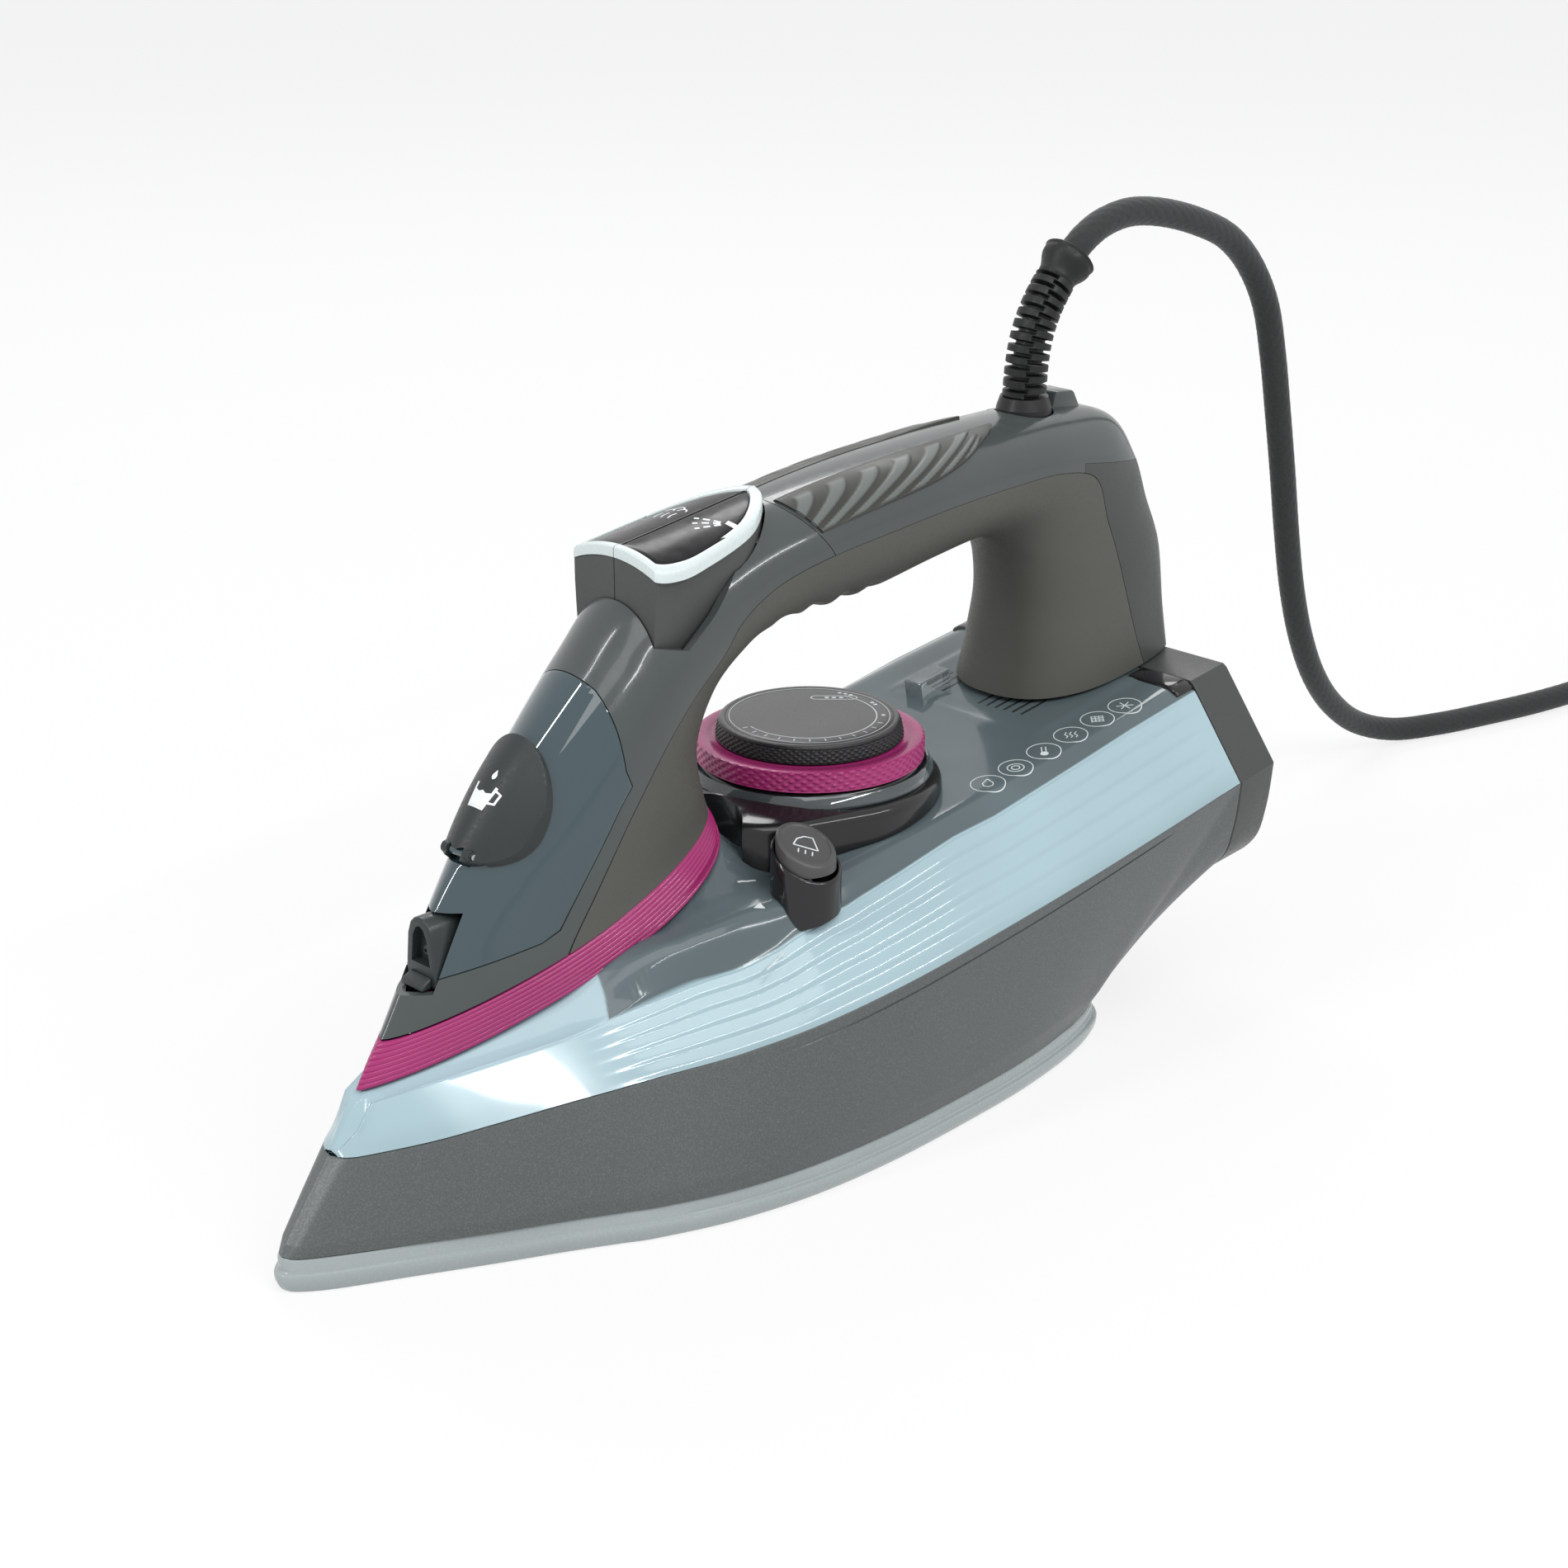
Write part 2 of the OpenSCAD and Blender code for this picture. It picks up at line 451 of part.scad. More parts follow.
module pod_opening() {
    across(pod_cut, 40);
    for (s = [-1, 1])
        stack([for (z = [pod_foot - button_travel - clear, 153]) reversed(pod_ring(s, z, clear))]);
    at([pod_x, -1, pod_foot - 4]) cube([40, 2, 20]);
    intersection() {
        at([0, 0, 132]) linear_extrude(60) polygon(mirrored([for (p = spline(POD_LINE, 3)) pod_pt(p, -clear)]));
        at([pod_x, 0, pod_z - button_travel - clear]) rotate([0, -pod_tilt, 0])
            at([-20, -30, -0.9]) cube([90, 60, 60]);
    }
}
nozzle_x = -78;
nozzle_foot = 63.5;
nozzle_top = 80.3;
module nozzle_envelope(g) at([-95, -5.6 - g, nozzle_foot - g])
    cube([95 + nozzle_x + 10 + g, 11.2 + 2 * g, nozzle_top - nozzle_foot + 2 * g]);
upper_front = upper_grid(shell_row, collar_row, 18, 8, 0.004);
module front_shell() color([0.36, 0.37, 0.36]) difference() {
    sheet(upper_front, inwards(upper_front, handle_wall));
    across([for (p = window_outline) window_at(p)], 40);
    pod_opening();
    nozzle_envelope(clear);
}
module filler_window() color([0.35, 0.42, 0.46]) difference() {
    g = upper_grid(1.9, 7.2, 12, 8, 0.004 + seam / 60);
    line = [for (i = [0 : len(window_outline) - 1]) let (p = window_outline[i])
        window_at([p[0] - (i > 4 ? seam : 0), p[1] + (i < 6 ? seam : 0)])];
    union() {
        difference() {
            sheet(g, inwards(g, handle_wall));
            across(concat(line, [[-100, 150], [30, 150], [30, 50], [-100, 50]]), 40);
            nozzle_envelope(clear);
            at([flap_mid[0], 0, flap_mid[1]]) rotate([0, -flap_slope, 0])
                at([0.5, 0, -20]) oval_slab(flap_l - 8, flap_w - 7, 40);
            flap_rod(15, 2 * flap_end_r + 0.6);
        }
        flap_rod(4.4, 3);
        on_flap_axis() at([-0.9, -2.2, -3.6]) cube([1.8, 4.4, 3.6]);
        on_flap_axis() at([-2.2, -6.2, -4.2]) cube([4.4, 12.4, 1.2]);
    }
    flap_rod(16, 1.5);
}
flap_mid = flap_pivot + flap_l / 2 * [cos(flap_slope), sin(flap_slope)];
// Upright slab with round ends that stands for an oval
module oval_slab(l, w, h) hull() for (s = [-1, 1]) at([s * (l - w) / 2, 0, 0]) cylinder(h = h, d = w, $fn = 32);
split_line = [[136, 152.1], [190, 142.9]];
module top_cover() color([0.4, 0.42, 0.42]) difference() {
    g = upper_grid(collar_row + 0.01, 19, 20, 7, 0.006);
    sheet(g, inwards(g, handle_wall));
    across([split_line[0], split_line[1], [190, 60], [136, 60]], 40);
    at([hub_x, 0, 140]) cylinder(h = 40, d = socket_d + 2 * clear);
}
module handle_grip() color([0.37, 0.37, 0.35]) {
    g = lower_grid(shell_row, foot_row, 34, 8, 0.006);
    sheet(g, inwards(g, handle_wall));
}
module leg_back() color([0.29, 0.29, 0.28]) difference() {
    g = upper_grid(14.2, foot_row, 12, 6, 0.006);
    sheet(g, inwards(g, handle_wall));
    across([[136 + seam, 100], split_line[0] + [seam, -seam], split_line[1] - [0, seam],
        [190, 220], [100, 220], [100, 100]], 40);
}
// Lower edge of the side inlay: row of the handle and share of the section
INLAY_EDGE = [[10.2, 0.235], [11, 0.225], [11.7, 0.205], [12.2, 0.15], [12.6, 0.07], [12.9, 0.02]];
module grip_inlay() color([0.3, 0.3, 0.28]) for (s = [-1, 1]) {
    edge = spline(INLAY_EDGE, 3);
    g = [for (q = edge) let (r = row_at(STATIONS, q[0]))
        [for (j = [0 : 5]) section_pt(r, 0.004 + (q[1] - 0.004) * pow(j / 5, 1.7), s)]];
    outer = inwards(s > 0 ? g : [for (r = g) reversed(r)], -0.9);
    sheet(outer, inwards(outer, 0.7));
}

// ---- filler and spray ----
module duct_core(r) at([-51, 0, 100]) rotate([0, 148, 0]) cylinder(h = 60, r = r);
duct_len = 28;
module filler_duct() color([0.4, 0.45, 0.48]) difference() {
    at([-50, 0, 98.4]) rotate([0, 148, 0]) cylinder(h = duct_len, r = 8);
    at([-52, 0, 101.6]) rotate([0, 148, 0]) cylinder(h = duct_len + 10, r = 6.8);
}
module spray_nozzle() color([0.3, 0.31, 0.31]) difference() {
    union() {
        at([nozzle_x, 0, nozzle_foot]) rotate([0, -90, 180]) linear_extrude(10)
            polygon(mirrored([[0, 0], [0, 5.5], [5, 5.3], [12, 4.5], [15, 3.4], [16.3, 2],
                [nozzle_top - nozzle_foot, 0]]));
        across([[nozzle_x - 6.6, nozzle_foot], [nozzle_x - 5.6, nozzle_foot + 2.4], [nozzle_x + e, nozzle_foot + 4.4],
            [nozzle_x + e, nozzle_foot]], 4);
    }
    at([nozzle_x, 0, 0]) rotate([0, -90, 180]) at([0, 0, -1]) linear_extrude(3.6)
        polygon(mirrored([[68.6, 0], [68.6, 3.4], [75.5, 2.5], [77.6, 1.3], [78.2, 0]]));
    at([nozzle_x - 1, 0, 71.5]) rotate([0, 90, 0]) cylinder(h = 30, d = 3);
}
module nozzle_tip() color([0.1, 0.1, 0.1]) difference() {
    at([nozzle_x + 1.6, 0, 71.5]) rotate([0, 90, 0]) cylinder(h = 6, d = 2.9);
    at([nozzle_x, 0, 71.5]) rotate([0, 90, 0]) cylinder(h = 10, d = 1);
}
pump_top = 124;
pump_foot = 101;
pump_d = 10;
rod_d = 4;
module pump_block() color("gainsboro") difference() {
    for (s = [-1, 1]) at([pump_at[0], s * pump_at[1], pump_foot]) cylinder(h = pump_top - pump_foot, d = pump_d);
    for (s = [-1, 1]) {
        at([pump_at[0], s * pump_at[1], pump_foot + 4]) cylinder(h = 40, d = rod_d + 2 * run_fit);
        at([pump_at[0], s * pump_at[1], pump_top - 8]) cylinder(h = 40, d = pump_d - 2);
        at([pump_at[0], s * pump_at[1], pump_foot - 1]) cylinder(h = 6, d = 2);
    }
}
module dip_tubes() color("white") for (s = [-1, 1]) at([pump_at[0], s * pump_at[1], 0]) difference() {
    at([0, 0, 52]) cylinder(h = pump_foot - 52, d = 4);
    at([0, 0, 50]) cylinder(h = 60, d = 2);
}
hose_points = [[-15.5, -6, 106], [-22, -7, 104], [-29, -9, 94], [-33, -10.5, 84], [-42, -10, 76],
    [-55, -7, 71.5], [-61, -3, 71.3], [-67.5, 0, 71.5]];
module spray_hose() color("lightgray") sweep(spline(hose_points, 3), 1.3);

// ---- dial ----
module under_deck() at([0, 0, deck_z(0) + 0.6]) rotate([0, -deck_tilt, 0]) at([-150, -100, -80]) cube([400, 200, 80]);
base_d = 69;
module dial_base() color([0.07, 0.07, 0.08]) difference() {
    union() {
        hull() {
            at([dial_x, 0, 66]) cylinder(h = 17, d = base_d, $fn = 64);
            at([26, -9, 66]) cylinder(h = 17, d = 36, $fn = 48);
        }
        at([dial_x, 0, 83 - e]) cylinder(h = base_top - 83, d1 = base_d - 4, d2 = ring_d - 4);
    }
    under_deck();
    at([clean_at[0], clean_at[1], 60]) cylinder(h = 40, d = clean_d + 4.4);
    at([dial_x, 0, 60]) cylinder(h = 40, d = shaft_d + 7 + 2 * run_fit);
    at([dial_x, 0, ring_z - 9]) cylinder(h = 20, d = hub_d + 2 * clear);
    hull() for (x = [band_back - 26, band_back - 14]) at([x, 0, 60]) cylinder(h = 50, r = 21.5, $fn = 32);
}
hub_d = 16;
sleeve_top = ring_z - 9.5;
module shaft_sleeve() color([0.5, 0.55, 0.58]) difference() {
    at([dial_x, 0, 46]) cylinder(h = sleeve_top - 46, d = shaft_d + 7);
    at([dial_x, 0, 40]) cylinder(h = 60, d = shaft_d + 2 * run_fit);
}
module dial_shaft() color("silver") at([dial_x, 0, thermostat_top - 4.5])
    cylinder(h = knob_z - thermostat_top + 3, d = shaft_d);
module dial_knob() color([0.2, 0.2, 0.2]) difference() {
    union() {
        at([dial_x, 0, knob_z]) cylinder(h = knob_h - 1, d1 = knob_d + 2, d2 = knob_d + 0.6, $fn = 72);
        at([dial_x, 0, knob_z + knob_h - 1 - e]) cylinder(h = 1, d = knob_d, $fn = 72);
        at([dial_x, 0, ring_z - 8]) cylinder(h = knob_z - ring_z + 8 + e, d = hub_d);
    }
    at([dial_x, 0, 60]) cylinder(h = knob_z - 1.4 - 60, d = shaft_d);
}
module dial_ring() color([0.75, 0.2, 0.48]) at([dial_x, 0, ring_z]) rotate_extrude($fn = 72)
    polygon([[hub_d / 2, 1], [ring_d / 2 - 3, 1], [ring_d / 2 - 3, 0], [ring_d / 2 - 0.5, 0], [ring_d / 2, 0.6],
        [ring_d / 2, ring_h - 0.6], [ring_d / 2 - 0.5, ring_h],
        [knob_d / 2 + 1.4, ring_h], [knob_d / 2 + 1.4, ring_h - 0.2],
        [hub_d / 2, ring_h - 0.2]]);

// ---- self-clean button ----
clean_floor = 72.8;
module slant_above(z) at([clean_at[0], clean_at[1], z]) rotate([clean_tilt, 0, 0])
    at([-30, -30, 0]) cube([60, 60, 40]);
module clean_housing() color([0.09, 0.09, 0.09]) difference() {
    at([clean_at[0], clean_at[1], 60]) cylinder(h = 30, d = clean_d + 3.8);
    at([0, 0, 0.9]) under_deck();
    at([0, -33, 60]) cube([10.9, 20, 14.4]);
    slant_above(clean_top - 3.4);
    at([clean_at[0], clean_at[1], clean_floor]) cylinder(h = 30, d = clean_d + 2 * clear);
    at([clean_at[0], clean_at[1], 50]) cylinder(h = 30, d = 4.6);
}
module clean_button() color([0.17, 0.17, 0.17]) difference() {
    at([clean_at[0], clean_at[1], clean_floor + clean_travel + clear]) cylinder(h = 30, d = clean_d);
    slant_above(clean_top);
}
module clean_rod() color("silver") at([clean_at[0], clean_at[1], 42])
    cylinder(h = clean_floor + clean_travel + clear - 42, d = 4);

// ---- pilot light ----
pilot_at = [113, 18];
module pilot_lens() color("aliceblue") at([pilot_at[0], pilot_at[1], deck_z(pilot_at[0]) + 0.1])
    rotate([0, -deck_tilt, 0])
    at([-9, -3.2, 0]) cube([18, 6.4, 4.6]);
module pilot_lamp() color("red") at([pilot_at[0], pilot_at[1], deck_z(pilot_at[0]) - wall - 9]) {
    cylinder(h = 6, d = 5);
    at([0, 0, 6]) sphere(2.5);
}

// ---- button pod ----
// Half outline of the pod from its front middle to its rear tip, as share of half width
POD_LINE = [[0, 0], [0, 0.5], [0, 1], [7, 1.18], [17, 1.14], [27, 1.04], [34, 0.9], [40, 0.64],
    [44.5, 0.33], [46.8, 0]];
function pod_pt(p, inset) = [pod_x + max(p[0] + (p[0] < 24 ? inset : -inset), inset),
    max(p[1] * pod_w / 2 - inset, 0)];
module pod_plan(inset, s) {
    half = spline(POD_LINE, 3);
    intersection() {
        polygon(mirrored([for (p = half) pod_pt(p, inset)]));
        at([pod_x - 20, s > 0 ? seam / 2 : -60]) square([100, 60 - seam / 2]);
    }
}
// Space under the arched top of the pod, lowered by d
module arch_space(d) at([pod_x, 0, pod_z + rim_t + 3]) rotate([0, -pod_tilt, 0])
    at([-20, 0, -pod_arch - d]) rotate([0, 90, 0]) cylinder(h = 90, r = pod_arch, $fn = 96);
module pod_slab(s, inset, z0) at([0, 0, z0]) linear_extrude(60) pod_plan(inset, s);
// Outline of one half of the pod's body at a height, grown by g; its sides lean out upwards
function pod_half_w(z) = pod_w / 2 - 1 + 0.058 * (z - pod_foot);
function pod_ring(s, z, g) = let (r = [for (p = spline(POD_LINE, 3)) let (q = pod_pt(p, 0.1 - g))
        [q[0], s * min(max(q[1], seam / 2), pod_half_w(z) + g), z]]) s > 0 ? r : reversed(r);
module pod_body(s) {
    difference() {
        intersection() {
            stack([reversed(pod_ring(s, pod_foot, 0)), reversed(pod_ring(s, 172, 0))]);
            arch_space(rim_t + 0.02);
        }
        across([[4, pod_foot - e], [40, 146.5], [40, 100], [4, 100]], 30);
    }
    at([pump_at[0], s * pump_at[1], pod_foot - 18]) cylinder(h = 18 + e, d = rod_d);
}
module pod_rim(s) difference() {
    intersection() {
        pod_slab(s, 0, 140);
        arch_space(0);
    }
    arch_space(rim_t);
    pod_slab(s, 2.2, 130);
}
module pod_cap(s) difference() {
    intersection() {
        pod_slab(s, 2.25, 140);
        arch_space(0.5);
    }
    arch_space(rim_t);
}
module button_spring(s) {
    turns = 4;
    steps = turns * 12;
    z0 = pod_foot - 8.5;
    at([pump_at[0], s * pump_at[1], 0])
        sweep([for (k = [0 : steps]) [2.9 * cos(30 * k), 2.9 * sin(30 * k), z0 + 8 * k / steps]], 0.35, 6);
}
module steam_button() color([0.31, 0.31, 0.3]) pod_body(1);
module steam_rim() color([0.85, 0.88, 0.87]) pod_rim(1);
module steam_cap() color([0.1, 0.1, 0.1]) pod_cap(1);
module steam_spring() color("silver") button_spring(1);
module spray_button() color([0.31, 0.31, 0.3]) pod_body(-1);
module spray_rim() color([0.85, 0.88, 0.87]) pod_rim(-1);
module spray_cap() color([0.1, 0.1, 0.1]) pod_cap(-1);
module spray_spring() color("silver") button_spring(-1);

// ---- filler flap ----
module filler_flap() color([0.16, 0.17, 0.17]) {
    outer = inwards(upper_grid(3.6, 6.6, 12, 8, -0.02), -flap_t - 0.4);
    difference() {
        intersection() {
            sheet(outer, inwards(outer, flap_t));
            at([flap_mid[0], 0, flap_mid[1]]) rotate([0, -flap_slope, 0])
                at([0, 0, -20]) oval_slab(flap_l, flap_w, 60);
        }
        difference() {
            on_flap_axis() at([-10, -20, -10]) cube([10, 40, 20]);
            flap_rod(40, 2 * flap_end_r);
        }
        on_flap_axis() at([-10, -2.6, -10]) cube([10, 5.2, 20]);
        flap_rod(5.2, 3.8);
    }
    for (s = [-1, 1]) on_flap_axis() at([0, s * 4, 0]) rotate([90, 0, 0]) difference() {
        cylinder(h = 2, d = 3, center = true);
        cylinder(h = 4, d = 1.4, center = true);
    }
}
flap_axis = [flap_pivot[0] + 1.65, flap_pivot[1] + 1.75];
flap_end_r = 2.4;
module on_flap_axis() at([flap_axis[0], 0, flap_axis[1]]) rotate([0, -flap_slope, 0]) children();
module flap_rod(l, d) on_flap_axis() rotate([90, 0, 0]) cylinder(h = l, d = d, center = true);
module flap_pin() color("silver") flap_rod(11, 1.4);

// ---- rear ----
function cover_ring(x, s, dz) = let (low = [for (p = reversed(spline(COVER_LOW, 2))) let (q = cover_low_pt(p, x)) q],
        top = deck_z(x) + dz)
    concat(low, [[x, tank_w * 0.345, top - 1.4], [x, tank_w * 0.335, top - 0.6]]);
function cover_loop(x, k, dz) = let (h = [for (p = cover_ring(x, 1, dz)) [p[0], p[1] * k, 66 + (p[2] - 66) * k]])
    concat(h, [for (i = [len(h) - 1 : -1 : 1]) [h[i][0], -h[i][1], h[i][2]]]);
module rear_cover() color([0.3, 0.3, 0.29]) difference() {
    stack([cover_loop(cover_x + 0.3, 1, 0.8), cover_loop(heel_x - 1.2, 1, 0.6), cover_loop(heel_x, 0.98, 0)]);
    stack([cover_loop(cover_x - 1, 0.955, -1), cover_loop(heel_x - wall, 0.93, -1)]);
    for (s = [-1, 1]) at([heel_x - 5, s * 22, 62]) rotate([0, 90, 0]) cylinder(h = 10, d = 3.4);
    at([heel_x - 10, 0, 75]) cylinder(h = 30, d = 7);
}
module cover_screws() color("silver") for (s = [-1, 1]) {
    at([heel_x - 1.6, s * 22, 62]) rotate([0, 90, 0]) cylinder(h = 1.2, d = 3.2);
    at([heel_x - 14, s * 22, 62]) rotate([0, 90, 0]) cylinder(h = 12.5, d = 3);
}
module terminal_block() color("ivory") difference() {
    at([cover_x + 2.5, -14, 56]) cube([8, 28, 14]);
    for (k = [-1 : 1]) at([cover_x + 6.5, k * 9, 50]) cylinder(h = 30, d = 4);
}
lead_points = [[152, 0, 149], [158, 0, 138], [163, 0, 124], [164.5, 0, 108], [164.5, 0, 92],
    [164.5, 0, 78], [164.8, 0, 71.4]];
module inner_lead() color("black") sweep(spline(lead_points, 3), 2.6);
module cord_socket() color([0.12, 0.12, 0.12]) difference() {
    at([hub_x, 0, 150]) cylinder(h = 12.5, d = socket_d);
    at([hub_x, 0, 153]) cylinder(h = 20, d = hub_ball_d + 2 * run_fit);
    at([hub_x, 0, 140]) cylinder(h = 20, d = 7);
}
hub_ball_d = 15;

// ---- cord, all on the swivelling hub ----
module cord_hub() color([0.08, 0.08, 0.08]) {
    at([hub_x, 0, 153.2]) cylinder(h = 12, d = hub_ball_d);
    at([hub_x, 0, 165.2 - e]) cylinder(h = 3, d1 = hub_ball_d, d2 = 13);
}
relief_points = [[132, 0, 168.2], [132.6, 0, 176], [134.4, 0, 184], [138, 0, 191.2],
    [143.2, 0, 197.6], [149, 0, 203]];
relief_r = [6, 5.7, 5.5, 5.4, 5.5, 7.6];
module strain_relief() color([0.06, 0.06, 0.06]) {
    pts = spline(relief_points, 3);
    rad = spline([for (r = relief_r) [r]], 3);
    n = len(pts);
    stack([for (i = [0 : n - 1]) let (d = unit(pts[min(i + 1, n - 1)] - pts[max(i - 1, 0)]),
            u = unit(cross(d, [0, 1, 0])), v = cross(d, u))
        [for (k = [0 : 15]) pts[i] + rad[i][0] * (cos(22.5 * k) * u + sin(22.5 * k) * v)]]);
}
cord_r = cord_d / 2;
cord_points = [[149.2, 0, 203.2], [155.5, 0.5, 207.2], [165, 1.5, 210.2], [178, 2.5, 211.2], [194, 3.5, 208.8],
    [211, 4.5, 204], [227, 6, 197.5], [241, 8, 187.5], [252, 9.5, 174], [259.5, 11, 157], [266, 12.5, 138],
    [272.5, 14, 118], [279.5, 16, 97], [288, 18.5, 76], [299, 21.5, 56.5], [313, 25, 39], [330, 28.5, 24],
    [349, 30.5, 12], [368, 28, 5.3], [387, 21.5, 4.2], [408, 15.5, 4.1], [430, 10, 4.1],
    [452, 6.6, 4.1], [473, 6, 4.1]];
coil_at = [512, -36];
coil_h = 2.87 * cord_d;
// From the coil's top down to the plug that lies beside it
tail_points = [[484, -83.6, 20], [476, -84.3, 18], [464, -85.3, 13.5], [452, -86.4, 8.6],
    [440, -87.4, 5.7], [428.6, -88.4, 5.1]];
module cord_tube() color([0.14, 0.14, 0.14]) {
    sweep(spline(cord_points, 3), cord_r);
    sweep(spline(tail_points, 2), cord_r);
}
module cord_coil() color([0.14, 0.14, 0.14]) at([coil_at[0], coil_at[1], 0])
    rotate_extrude() at([coil_d / 2 - cord_d, 0]) square([2 * cord_d, coil_h]);
module cord_tie() color("black") at([coil_at[0], coil_at[1], 0]) difference() {
    at([coil_d / 2 - cord_d - 1.5, -4, -0]) cube([2 * cord_d + 3, 8, coil_h + 1.5]);
    rotate_extrude() at([coil_d / 2 - cord_d, -1]) square([2 * cord_d, coil_h + 1]);
}
plug_at = [391.3, -91.7, 15.2];
plug_turn = [0, 74.5, 185];
module plug() color([0.08, 0.08, 0.08]) at(plug_at) rotate(plug_turn) {
    hull() {
        at([0, 0, -18]) cylinder(h = 30, d = 18, $fn = 32);
        at([0, 0, 12]) cylinder(h = 5, d = 37, $fn = 32);
        at([0, 0, 17]) cylinder(h = 3, d = 35, $fn = 32);
    }
    at([0, 0, -38]) cylinder(h = 21, d1 = cord_d + 2, d2 = 14);
}
module plug_pins() color("silver") at(plug_at) rotate(plug_turn) for (s = [-1, 1]) {
    at([0, s * 9.5, 20]) cylinder(h = 17.5, d = 4.8);
    at([0, s * 9.5, 37.5 - e]) sphere(2.4);
}

soleplate();
heater_casting();
heating_element();
steam_chamber_cover();
thermostat();
thermal_fuse();
heat_shield();
skirt();
tank_floor();
tank_shell();
band_seal();
rear_seal();
steam_valve();
front_shell();
top_cover();
handle_grip();
leg_back();
grip_inlay();
filler_window();
filler_duct();
spray_nozzle();
nozzle_tip();
pump_block();
dip_tubes();
spray_hose();
dial_base();
shaft_sleeve();
pilot_lens();
pilot_lamp();
clean_housing();
rear_cover();
terminal_block();
inner_lead();
cover_screws();
casting_screws();
cord_socket();
dial_knob();
dial_ring();
dial_shaft();
steam_button();
steam_rim();
steam_cap();
steam_spring();
spray_button();
spray_rim();
spray_cap();
spray_spring();
clean_button();
clean_rod();
filler_flap();
flap_pin();
cord_hub();
strain_relief();
cord_tube();
cord_coil();
cord_tie();
plug();
plug_pins();
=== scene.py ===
"""Steam iron: its shells, tank, dial, buttons and cord with a studio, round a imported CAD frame."""

import math

import bmesh
import bpy
import numpy as np
from bpy.props import FloatProperty, FloatVectorProperty, IntProperty, PointerProperty
from mathutils import Euler, Matrix, Vector
from mathutils.bvhtree import BVHTree
from mathutils.geometry import tessellate_polygon


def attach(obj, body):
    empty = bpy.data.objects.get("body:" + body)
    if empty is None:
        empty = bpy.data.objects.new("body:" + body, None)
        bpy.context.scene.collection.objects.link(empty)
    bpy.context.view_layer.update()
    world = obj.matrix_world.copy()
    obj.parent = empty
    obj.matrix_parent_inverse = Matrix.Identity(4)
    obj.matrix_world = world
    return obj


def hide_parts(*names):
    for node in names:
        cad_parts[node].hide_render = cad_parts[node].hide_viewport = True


bl_info = {
    "name": "Steam iron builder",
    "version": (1, 0, 0),
    "blender": (4, 5, 0),
    "location": "View3D > Sidebar > Iron",
    "description": "Builds the visible pieces of a steam iron round its construction frame",
    "category": "Object",
}

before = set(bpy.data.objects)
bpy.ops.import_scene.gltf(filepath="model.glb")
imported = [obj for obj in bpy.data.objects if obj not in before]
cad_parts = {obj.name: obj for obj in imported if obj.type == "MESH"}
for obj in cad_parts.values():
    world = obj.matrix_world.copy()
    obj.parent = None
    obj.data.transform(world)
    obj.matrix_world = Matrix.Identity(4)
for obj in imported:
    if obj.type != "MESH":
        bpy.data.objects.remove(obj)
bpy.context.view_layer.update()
MM = 0.001


# ---------------------------------------------------------------- sizes and colours
def length(name, description, default, low, high):
    """A length property in metres."""
    return FloatProperty(name=name, description=description, default=default, min=low, max=high,
                         subtype="DISTANCE", unit="LENGTH")


def tint(name, description, default):
    """A colour property."""
    return FloatVectorProperty(name=name, description=description, default=default, size=3,
                               min=0.0, max=1.0, subtype="COLOR")


class IronSizes(bpy.types.PropertyGroup):
    """Sizes of the visible detail."""
    side_step: length("Side step", "Depth of the lengthwise steps along the tank's sides", 0.00045,
                      0.0, 0.001)
    band_rib: length("Band rib", "Height of the ribs along the coloured band", 0.00035, 0.0, 0.0008)
    knurl: length("Knurl", "Depth of the grip pattern round the dial", 0.0004, 0.0, 0.0008)
    ring_teeth: IntProperty(name="Ring teeth", description="Raised points round the dial's ring",
                            default=120, min=40, max=160)
    ripple: length("Finger ripple", "Depth of the ripples under the grip", 0.0011, 0.0, 0.002)
    inlay_rib: length("Inlay rib", "Height of the curved ribs beside the grip", 0.00035, 0.0, 0.001)
    braid: length("Braid", "Height of the cord's woven strands", 0.00016, 0.0, 0.0004)
    mark: length("Print", "Thickness of the printed marks", 0.00005, 0.00002, 0.0002)


class IronColours(bpy.types.PropertyGroup):
    """Colours of the finishes."""
    skirt: tint("Skirt", "Fine metallic paint of the skirt", (0.085, 0.094, 0.093))
    side: tint("Tank side", "Pale inner tank behind the clear skin", (0.35, 0.475, 0.52))
    top: tint("Tank top", "Smoky top of the tank", (0.1, 0.13, 0.14))
    band: tint("Band", "Coloured band and dial ring", (0.29, 0.022, 0.12))
    gloss: tint("Upper shell", "Glossy upper shell of the handle", (0.058, 0.067, 0.066))
    matte: tint("Lower shell", "Matte lower shell of the handle", (0.088, 0.088, 0.077))
    black: tint("Black parts", "Dial base, relief and hub", (0.012, 0.012, 0.013))
    rim: tint("Button rim", "Pale rim round the buttons", (0.62, 0.68, 0.67))
    sole: tint("Soleplate rim", "Coated edge of the soleplate", (0.33, 0.365, 0.365))
    ink: tint("Ink", "Printed marks", (0.66, 0.7, 0.7))
    cord: tint("Cord", "Textile braid of the cord", (0.013, 0.014, 0.014))


def sizes():
    return bpy.context.scene.iron_sizes


def colours():
    return bpy.context.scene.iron_colours


# ---------------------------------------------------------------- mesh helpers (millimetres)
def row_at(table, t):
    """Catmull-Rom spline through the rows of a table, t counted in rows."""
    n = len(table) - 1
    i = min(max(int(math.floor(t)), 0), n - 1)
    s = t - i
    a, b, c, d = (np.asarray(table[k], float) for k in (max(i - 1, 0), i, i + 1, min(i + 2, n)))
    return 0.5 * (2 * b + (c - a) * s + (2 * a - 5 * b + 4 * c - d) * s * s
                  + (3 * b - a - 3 * c + d) * s ** 3)


